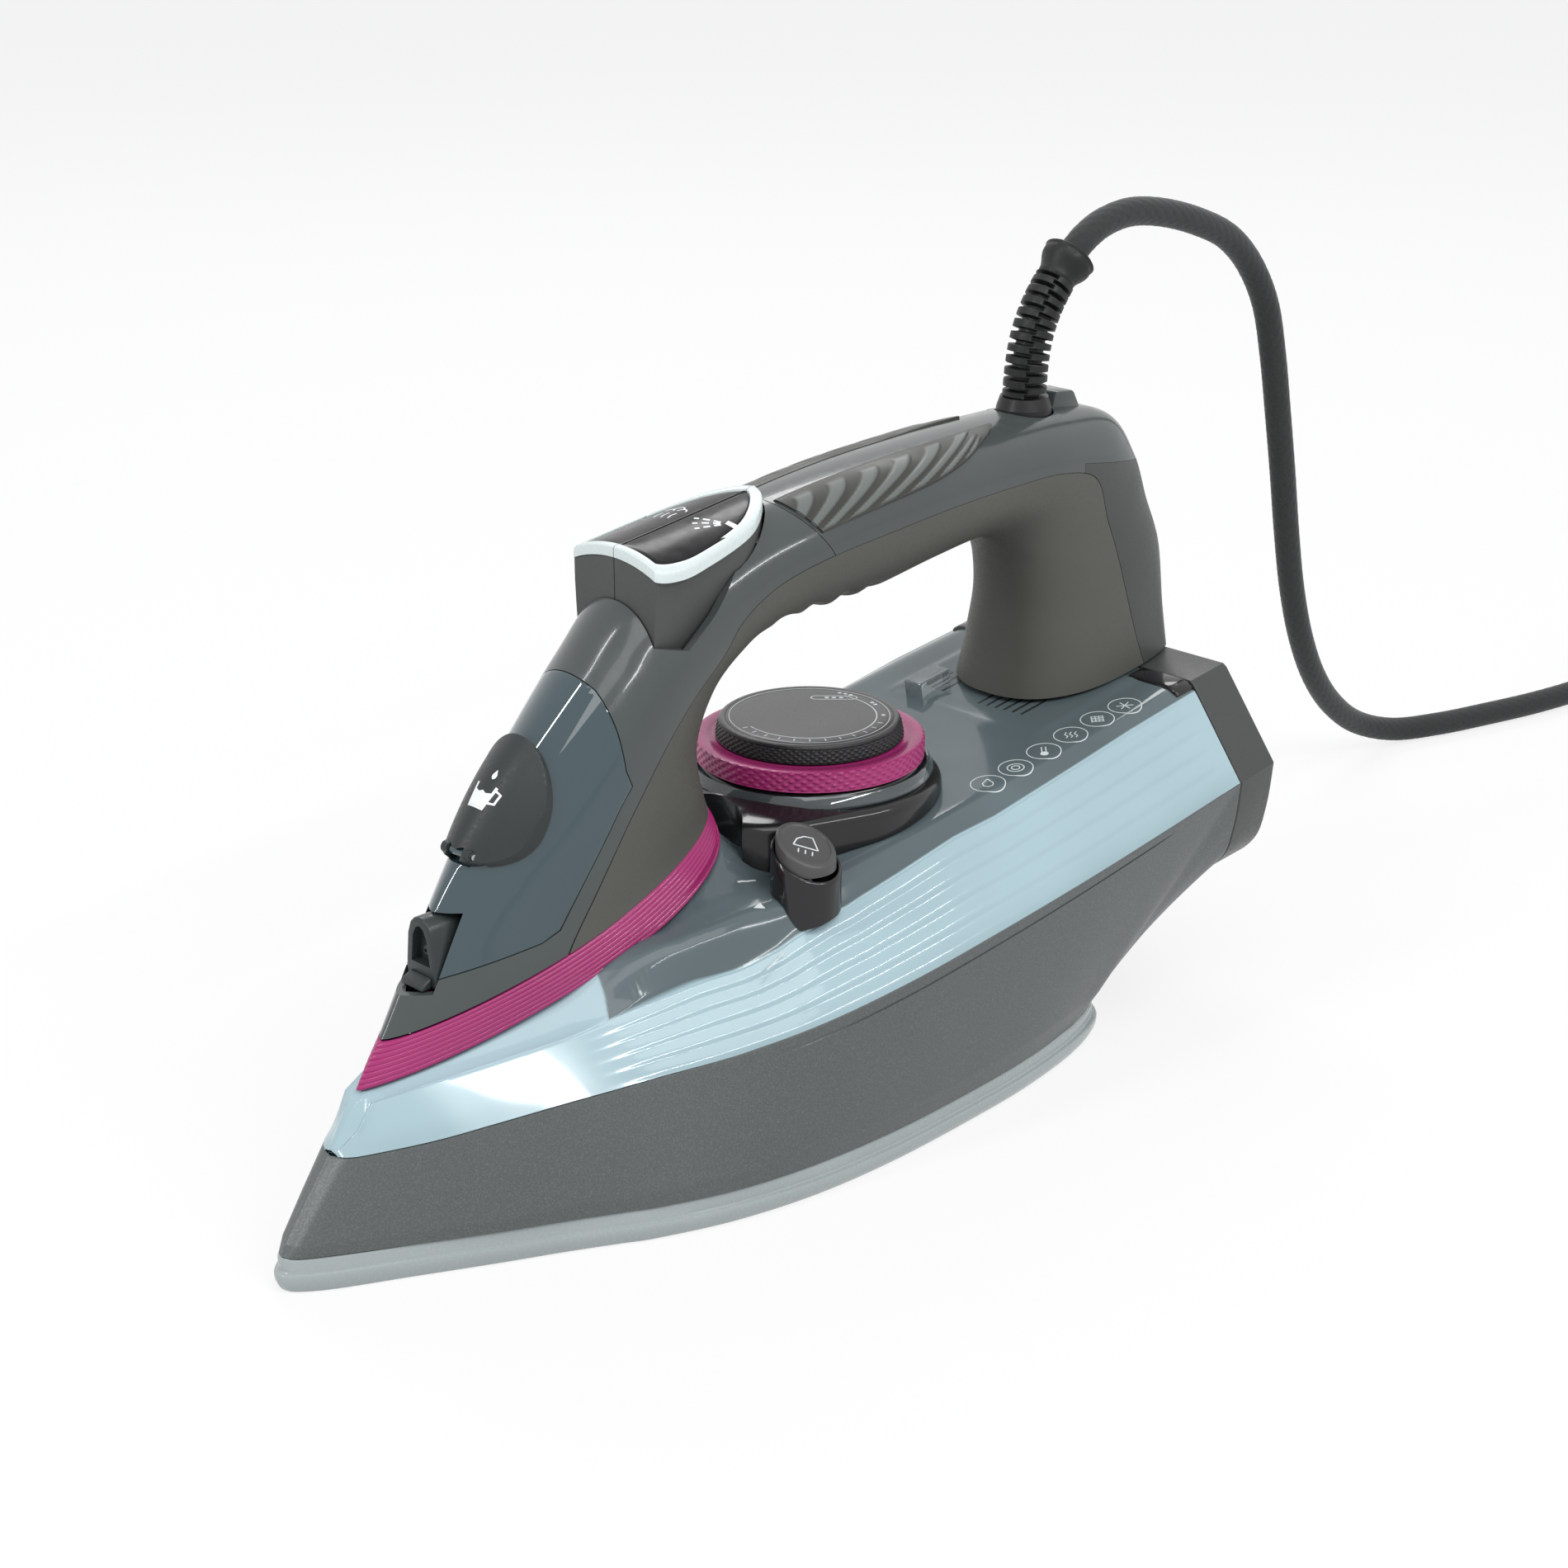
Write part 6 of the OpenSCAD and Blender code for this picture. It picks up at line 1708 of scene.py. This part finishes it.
class IRON_OT_dial_base(bpy.types.Operator):
    """Glossy foot under the dial with its clear collar"""
    bl_idname = "iron.dial_base"
    bl_label = "Dial base"

    def execute(self, context):
        mats = finishes()
        steps = 160
        angles = [2 * math.pi * k / steps for k in range(steps)]
        reach = [hull_reach(a) for a in angles]
        rings = []
        for z, trim, share in ((60, 0, 0), (79.6, 0, 0), (81.3, 0.15, 0), (82.3, 0.6, 0),
                               (82.9, 1.3, 0.02), (83.2, 2.1, 0.06), (83.9, 2.4, 0.4),
                               (84.9, 2.4, 0.75), (86.1, 2.4, 0.96), (86.7, 2.6, 1.0),
                               (86.95, 3.2, 1.0)):
            ring = []
            for a, r in zip(angles, reach):
                q = (r - trim) * (1 - share) + (30.5 - trim * 0.6) * share
                ring.append((DIAL_X + q * math.cos(a), q * math.sin(a), z))
            rings.append(ring)
        base = stack_object("dial_foot", rings)
        carve(base, self.under_deck(), turned("clean_room", [(9.7, 50), (9.7, 100)], CLEAN_AT, 64),
              turned("shaft_room", [(6.05, 50), (6.05, 100)], (DIAL_X, 0), 48),
              turned("hub_room", [(8.4, RING_Z - 9), (8.4, 100)], (DIAL_X, 0), 64),
              self.band_room())
        shell_finish(base, "black_gloss", "root", ("dial_base",), 35)
        collar = turned("clear_collar", [(31.0, 83.6), (31.9, 83.7), (32.2, 84.3), (31.2, 86.6),
                                         (30.9, 86.9), (30.4, 86.7), (30.9, 84.2), (31.0, 83.6)],
                        (DIAL_X, 0), 160)
        settle(collar, mats["bezel_plastic"], "root")
        return {"FINISHED"}

    def under_deck(self):
        line = [(-60, deck_z(-60) + 0.5), (160, deck_z(160) + 0.5), (160, 20), (-60, 20)]
        return prism_across("under_deck", line, 60)

    def band_room(self):
        ring = [(BAND_BACK - 20 + x + (6 if x > 0 else -6), y) for x, y in circle(21.5, 96)]
        return stack_object("band_room", [[(x, y, z) for x, y in ring] for z in (55, 110)])


class IRON_OT_dial(bpy.types.Operator):
    """Temperature dial: knurled coloured ring, dark rim and satin top with plain marks"""
    bl_idname = "iron.dial"
    bl_label = "Dial"

    def execute(self, context):
        mats = finishes()
        self.ring()
        self.knob()
        top = KNOB_Z + KNOB_H

        def place(u, v, lift):
            c, s = polar(1, -45)
            return (DIAL_X + u * c - v * s, u * s + v * c, top + lift)
        marks = ring_line(0, 0, 20.8, 0.18, 0, 360, 160)
        marks += ring_line(0, 0, 17.4, 0.3, -150, 60, 120)
        for angle, count in ((60, 3), (28, 2), (0, 1)):
            for k in range(count):
                marks += disc(*polar(19.1, angle + (k - (count - 1) / 2) * 5), 0.55)
        for k in range(12):
            marks += stroke([polar(18.3, -150 + k * 12), polar(19.7, -150 + k * 12)], 0.28)
        pill = []
        for middle, first in ((11.2, -90), (1.8, 90)):
            bend = [polar(1.35, a) for a in range(first, first + 181, 15)]
            pill += [(middle + u, 13.6 + v) for u, v in bend]
        marks += stroke(pill, 0.3, closed=True)
        for k in range(3):
            marks += disc(4.6 + 1.9 * k, 13.6, 0.6)
        printed("dial_marks", marks, place, mats["ink"], "dial")
        return {"FINISHED"}

    def ring(self):
        r, z = RING_D / 2, RING_Z
        teeth = sizes().ring_teeth
        depth = sizes().knurl / MM
        profile = [(HUB_D / 2, z + 1), (r - 3, z + 1), (r - 3, z), (r - 0.7, z),
                   (r - 0.25, z + 0.2)]
        rows = 9
        for k in range(rows * 2 + 1):
            profile.append((r, z + 0.5 + 4.5 * k / (rows * 2)))
        top = z + RING_H
        profile += [(r - 0.25, z + 5.3), (r - 0.8, top), (r - 3.6, top), (r - 3.9, top - 0.25),
                    (KNOB_D / 2 + 1.4, top - 0.25), (HUB_D / 2, top - 0.25)]

        def points(k, a, q, h):
            if q < r - 0.01:
                return 0
            row = (h - z - 0.5) / 4.5 * rows / 2
            bump = abs(math.sin(math.pi * row)) * math.cos(teeth * a / 2 + math.pi * int(row))
            return -depth + depth * max(bump, 0) ** 0.8
        ring = turned("dial_ring_knurled", profile, (DIAL_X, 0), teeth * 5, points)
        bore = HUB_D / 2 + 0.01
        carve(ring, turned("bore", [(bore, z - 2), (bore, z + 8)], (DIAL_X, 0), 96))
        shell_finish(ring, "ring_plastic", "dial", ("dial_ring",), 70)

    def knob(self):
        z0, top, r = KNOB_Z, KNOB_Z + KNOB_H, KNOB_D / 2
        profile = [(0.3, RING_Z - 8), (HUB_D / 2, RING_Z - 8), (HUB_D / 2, z0), (r + 0.6, z0),
                   (r + 0.95, z0 + 0.25)]
        for k in range(25):
            profile.append((r + 1.0 - 0.7 * k / 24, z0 + 0.4 + (KNOB_H - 1.5) * k / 24))
        profile += [(r + 0.1, top - 0.75), (r - 0.25, top - 0.3), (r - 0.7, top), (r - 1.5, top),
                    (r - 1.7, top - 0.2), (r - 1.9, top), (r - 5, top), (10, top), (3, top),
                    (0.2, top)]

        def points(k, a, q, h):
            if not (z0 + 0.35 < h < top - 1.05 and q > r):
                return 0
            row = (h - z0 - 0.4) / (KNOB_H - 1.5) * 5
            bump = abs(math.sin(math.pi * row)) * math.cos(70 * a + math.pi * int(row))
            return -0.35 + 0.45 * max(bump, 0) ** 0.7
        knob = turned("dial_knob_top", profile, (DIAL_X, 0), 480, points)
        bore = SHAFT_D / 2 + 0.01
        carve(knob, turned("bore", [(bore, 60), (bore, z0 - 1.4)], (DIAL_X, 0), 48))
        shell_finish(knob, "knob_satin", "dial", ("dial_knob",), 50)
        knob.data.materials.append(finishes()["black_satin"])
        for f in knob.data.polygons:
            if f.center.z < (top - 0.5) * MM:
                f.material_index = 1


def slanted_ring(r, z, steps=96, lean=None):
    """A ring round the self-clean button whose height follows the slanted top."""
    t = math.tan(math.radians(CLEAN_TILT)) if lean is None else lean
    return [(CLEAN_AT[0] + x, CLEAN_AT[1] + y, z + t * y) for x, y in circle(r, steps)]


class IRON_OT_self_clean(bpy.types.Operator):
    """Slanted self-clean button in its round housing"""
    bl_idname = "iron.self_clean"
    bl_label = "Self-clean button"

    def execute(self, context):
        mats = finishes()
        top = CLEAN_TOP - 3.4
        outer_r, inner_r = CLEAN_D / 2 + 1.3, CLEAN_D / 2 + CLEAR
        foot = [(x, y, min(top_height(x, y), deck_z(x)) + 0.6)
                for x, y, _ in slanted_ring(outer_r, 0)]
        rings = [foot, slanted_ring(outer_r, top - 1.0), slanted_ring(outer_r - 0.15, top - 0.35),
                 slanted_ring(outer_r - 0.5, top), slanted_ring(inner_r + 0.25, top),
                 slanted_ring(inner_r, top - 0.25), slanted_ring(inner_r, 73.2, lean=0.0)]
        house = stack_object("self_clean_housing", rings)
        shell_finish(house, "black_gloss", "root", ("clean_housing",), 35)
        r = CLEAN_D / 2
        profile = [(r, 0.9), (r - 0.15, 0.4), (r - 0.6, 0.05), (r - 1.3, 0), (r - 1.5, 0.3),
                   (r - 2.0, 0.35), (2, 0.35), (0.1, 0.35)]
        rings = [slanted_ring(r, 76.3, lean=0.0)]
        rings += [slanted_ring(q, CLEAN_TOP - down) for q, down in profile]
        button = stack_object("self_clean_button", rings)
        shell_finish(button, "knob_satin", "clean_key", ("clean_button",), 35)
        t = math.radians(CLEAN_TILT)

        def place(u, v, lift):
            x, y = READ_COS * u + READ_SIN * v, -READ_SIN * u + READ_COS * v
            return (CLEAN_AT[0] + x, CLEAN_AT[1] + y * math.cos(t),
                    CLEAN_TOP - 0.35 + y * math.sin(t) + lift)
        marks = stroke([(-3.2, -1.0), (3.2, -1.0)], 0.35)
        marks += stroke([(-3.2, -1.0), (-2.4, 1.4), (-0.6, 2.9), (1.6, 3.1), (3.2, -1.0)], 0.35)
        for k in range(3):
            marks += stroke([(-1.8 + 1.8 * k, -2.0), (-1.8 + 1.8 * k, -3.4)], 0.35)
        printed("clean_mark", marks, place, mats["ink"], "clean_key")
        return {"FINISHED"}


# ---------------------------------------------------------------- rear, marks and inside pieces
def cover_loop(x, k, dz, trim=0.0):
    """Outline of the rear cover at a station; trim rounds its edges."""
    low = [np.array([x, q[0] * TANK_W * 0.4935, parting_z(x) * q[1]])
           for q in spline(COVER_LOW, 5)[::-1]]
    top = deck_z(x) + dz
    half = low + [np.array([x, TANK_W * 0.345, top - 1.4]),
                  np.array([x, TANK_W * 0.335, top - 0.6])]
    half = [np.array([x, p[1] * k, 66 + (p[2] - 66) * k]) for p in half]
    loop = half + [np.array([x, -p[1], p[2]]) for p in half[:0:-1]]
    if trim:
        mid = np.array([x, 0, 66.0])
        loop = [mid + (p - mid) * (1 - trim / max(np.linalg.norm(p - mid), 1)) for p in loop]
    return loop


class IRON_OT_rear(bpy.types.Operator):
    """Rear cover with its seal and screws"""
    bl_idname = "iron.rear"
    bl_label = "Rear cover"

    def execute(self, context):
        rings = [cover_loop(158.8, 1, 0.8, 0.35), cover_loop(159.2, 1, 0.8),
                 cover_loop(172.6, 1, 0.62), cover_loop(173.3, 1, 0.6, 0.1),
                 cover_loop(174.0, 0.993, 0.4, 0.3), cover_loop(174.35, 0.985, 0.1, 0.4),
                 cover_loop(174.5, 0.972, 0)]
        cover = stack_object("rear_cover_shell", rings)
        carve(cover, stack_object("cover_void", [cover_loop(157.5, 0.955, -1),
                                                 cover_loop(172.5, 0.93, -1)]))
        for s in (-1, 1):
            hole = turned("hole", [(1.75, 0), (1.75, 12)], steps=32)
            carve(cover, lying(hole, (166, s * 22, 62)))
        carve(cover, turned("lead_hole", [(3.5, 75), (3.5, 110)], (164.5, 0), 48))
        shell_finish(cover, "rear_satin", "root", ("rear_cover",), 28)
        seal = []
        for x, z in ((151.6, 0.3), (152.1, 0.75), (157.6, 0.75), (158.3, 0.5)):
            half = [(24.0, z), (36.0, z), (39.5, z - 0.45), (41.3, z - 1.5), (41.3, -3.0),
                    (24.0, -3.0)]
            seal.append([(x, y, deck_z(x) + h) for y, h in half])
        for s in (-1, 1):
            strip = softened(stack_object("seal", [[(x, s * y, z) for x, y, z in r]
                                                   for r in seal]), 0.25)
            strip.name = "rear_seal_near" if s < 0 else "rear_seal_far"
            shell_finish(strip, "black_gloss", "root", ("rear_seal",) if s < 0 else (),
                         35)
            screw = turned("screw", [(0.05, 0.55), (0.9, 0.55), (0.95, 0.9), (1.45, 0.85),
                                     (1.6, 0.6), (1.6, 0.0), (1.5, -11.8), (0.1, -12.3)],
                           steps=6 * 12)
            carve(screw, block((-1.2, -0.25, 0.3), (1.2, 0.25, 2)))
            lying(screw, (172.9, s * 22, 62))
            screw.name = "cover_screw_near" if s < 0 else "cover_screw_far"
            shell_finish(screw, "bright_steel", "root", ("cover_screws",) if s < 0 else (),
                         35)
        return {"FINISHED"}


LENS_X, LENS_Y, LENS_LONG, LENS_WIDE = 115.8, 18, 12.4, 6.4


class IRON_OT_pilot(bpy.types.Operator):
    """Clear bevelled pilot-light block"""
    bl_idname = "iron.pilot"
    bl_label = "Pilot lens"

    def execute(self, context):
        rings = []
        for z, trim in ((0, 0), (3.9, 0.0), (4.15, 0.1), (4.4, 0.35)):
            x, y = LENS_LONG / 2 - trim, LENS_WIDE / 2 - trim
            rings.append([(-x + 0.4, -y, z), (x - 0.4, -y, z), (x, -y + 0.4, z), (x, y - 0.4, z),
                          (x - 0.4, y, z), (-x + 0.4, y, z), (-x, y - 0.4, z), (-x, -y + 0.4, z)])
        lens = stack_object("pilot_block", rings)
        tilt = math.atan(SKIRT_RISE / TANK_L)
        at = Vector((LENS_X, LENS_Y, deck_z(LENS_X) + 0.1)) * MM
        moved(lens, Matrix.Translation(at) @ Matrix.Rotation(-tilt, 4, "Y"))
        settle(lens, finishes()["lens_plastic"], "root", ("pilot_lens",), sharp=30)
        return {"FINISHED"}


BADGES = ((81.5, -34.6), (92.4, -34.6), (103.9, -34.4), (115.3, -34.0), (126.6, -33.8),
          (137.1, -34.7))
BADGE_R, VENT_STEP, VENT_WIDTH, PAD_RISE = 4.55, 2.9, 0.75, 0.55


class IRON_OT_marks(bpy.types.Operator):
    """Plain printed signs: badge row, fill line and button pictograms, with the vents as near-black
    strips of painted shade
    """
    bl_idname = "iron.marks"
    bl_label = "Printed marks"

    def execute(self, context):
        mats = finishes()

        def deck(u, v, lift):
            return (u, v, top_height(u, v) + lift)
        for k, (at, sign) in enumerate(zip(BADGES, self.signs())):
            shapes = ring_line(0, 0, BADGE_R, 0.26) + sign
            printed("badge_%d" % (k + 1), shapes, self.facing(deck, *at), mats["ink"])
        tick = stroke([(3.0, -22.3), (8.0, -23.6)], 0.5)
        tick += stroke([(-7.3, -43.2), (0.1, -41.6)], 0.5)
        tick += [[(-0.6, -31.6), (2.2, -31.0), (1.2, -33.8)]]
        printed("fill_tick", tick, deck, mats["ink"])
        # The vent slots are not cut: near-black strips on the pad are painted shade where the slots'
        # insides would be
        slots = []
        for k in range(6):
            y = -0.9 - VENT_STEP * k
            slots += stroke([(115.4 + 0.25 * k, y), (125.4 + 0.3 * k, y)], VENT_WIDTH)
        for k in range(5):
            y = 12.9 + VENT_STEP * k
            slots += stroke([(116.0, y), (126.6, y)], VENT_WIDTH)

        def pad(u, v, lift):
            return (u, v, top_height(u, v) + PAD_RISE * (109 < u < 152 and abs(v) < 26) + lift)
        printed("vent_slots", slots, pad, mats["mark_dark"])
        caps = ("spray_key", self.spray(), -6.4), ("steam_key", self.clouds(), 6.4)
        for body, sign, middle in caps:
            def cap(u, v, lift, middle=middle):
                x, y = 8.0 + 1.25 * v, middle - 1.25 * u
                return (x, y, arch_z(x, y, 0.5) + lift)
            printed(body.split("_")[0] + "_mark", sign, cap, mats["ink_pale"], body)
        return {"FINISHED"}

    def facing(self, deck, x, y):
        """Deck place turned to read from the near front corner."""
        c, s = READ_COS, READ_SIN
        return lambda u, v, lift: deck(x + c * u + s * v, y - s * u + c * v, lift)

    def signs(self):
        """Plain signs of the badges: drop, rings, meter, steam, grid and flake."""
        drop = stroke([(0, 2.6), (-1.4, 0.2), (-1.2, -1.2), (0, -1.9), (1.2, -1.2), (1.4, 0.2),
                       (0, 2.6)], 0.3)
        rings = ring_line(0, 0, 2.2, 0.3) + ring_line(0, 0, 1.1, 0.3, steps=24)
        meter = stroke([(-0.5, 2.4), (-0.5, -0.6)], 0.3) + stroke([(0.6, 2.4), (0.6, -0.6)], 0.3)
        meter += disc(0.05, -1.5, 1.1)
        steam, grid, flake = [], [], []
        for k in (-1.3, 0, 1.3):
            steam += stroke([(k, -1.8), (k + 0.5, -0.8), (k - 0.3, 0.3), (k + 0.3, 1.6)], 0.3)
        for k in (-1.5, -0.5, 0.5, 1.5):
            grid += stroke([(k, -1.8), (k, 1.8)], 0.25) + stroke([(-1.8, k), (1.8, k)], 0.25)
        for a in (0, 60, 120):
            flake += stroke([polar(-2.3, a), polar(2.3, a)], 0.3)
        return drop, rings, meter, steam, grid, flake

    def spray(self):
        """A nozzle with dashes fanning out of it."""
        shapes = [[(2.4, 3.2), (4.6, 3.6), (4.6, 5.0), (2.0, 4.4)]]
        for a in (-152, -132, -112):
            for r0, r1 in ((1.2, 2.6), (3.4, 4.8), (5.6, 6.6)):
                c, s = polar(1, a)
                shapes += stroke([(2.6 + r0 * c, 3.4 + r0 * s), (2.6 + r1 * c, 3.4 + r1 * s)], 0.5)
        return shapes

    def clouds(self):
        shapes = []
        for x, y, r in ((-1.6, 1.5, 1.2), (0.2, 2.3, 1.4), (1.9, 1.5, 1.2)):
            shapes += ring_line(x, y, r, 0.35, 10, 170, 14)
        for x in (-2.0, 0, 2.0):
            shapes += stroke([(x, 0.4), (x - 0.3, -0.8), (x + 0.2, -2.2)], 0.35)
        return shapes


INSIDE = {
    "heater_casting": "cast_aluminium", "heating_element": "element_steel",
    "steam_chamber_cover": "bright_steel", "thermostat": "ivory_plastic",
    "thermal_fuse": "white_plastic", "heat_shield": "bright_steel", "tank_floor": "liner_pale",
    "steam_valve": "white_plastic", "filler_duct": "window_plastic",
    "pump_block": "white_plastic", "dip_tubes": "lens_plastic", "spray_hose": "white_plastic",
    "shaft_sleeve": "nozzle_satin", "pilot_lamp": "lamp_red", "terminal_block": "ivory_plastic",
    "inner_lead": "black_rubber", "casting_screws": "bright_steel", "cord_socket": "black_satin",
    "dial_shaft": "bright_steel", "steam_spring": "bright_steel", "spray_spring": "bright_steel",
    "clean_rod": "bright_steel", "flap_pin": "bright_steel", "cord_hub": "black_satin",
    "filler_window": "window_plastic", "plug_pins": "bright_steel"}


class IRON_OT_inside(bpy.types.Operator):
    """Finishes for the construction pieces that stay as they are"""
    bl_idname = "iron.inside"
    bl_label = "Inside pieces"

    def execute(self, context):
        mats = finishes()
        for name, finish in INSIDE.items():
            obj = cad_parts[name]
            if obj.hide_render:
                continue
            obj.data.materials.clear()
            obj.data.materials.append(mats[finish])
        return {"FINISHED"}


# ---------------------------------------------------------------- add-on
OPERATORS = [cls for cls in bpy.types.Operator.__subclasses__()
             if cls.__name__.startswith("IRON_OT_")]


class IRON_PT_panel(bpy.types.Panel):
    """Buttons that build the iron piece by piece"""
    bl_idname = "IRON_PT_panel"
    bl_label = "Steam iron"
    bl_space_type = "VIEW_3D"
    bl_region_type = "UI"
    bl_category = "Iron"

    def draw(self, context):
        for cls in OPERATORS:
            self.layout.operator(cls.bl_idname)


CLASSES = [IronSizes, IronColours, *OPERATORS, IRON_PT_panel]


def register():
    for cls in CLASSES:
        bpy.utils.register_class(cls)
    bpy.types.Scene.iron_sizes = PointerProperty(type=IronSizes)
    bpy.types.Scene.iron_colours = PointerProperty(type=IronColours)


def unregister():
    del bpy.types.Scene.iron_sizes
    del bpy.types.Scene.iron_colours
    for cls in reversed(CLASSES):
        bpy.utils.unregister_class(cls)


def main():
    register()
    for cls in OPERATORS:
        name = cls.bl_idname.split(".")[1]
        if getattr(bpy.ops.iron, name)() != {"FINISHED"}:
            raise RuntimeError(name + " did not finish")


if __name__ == "__main__":
    main()
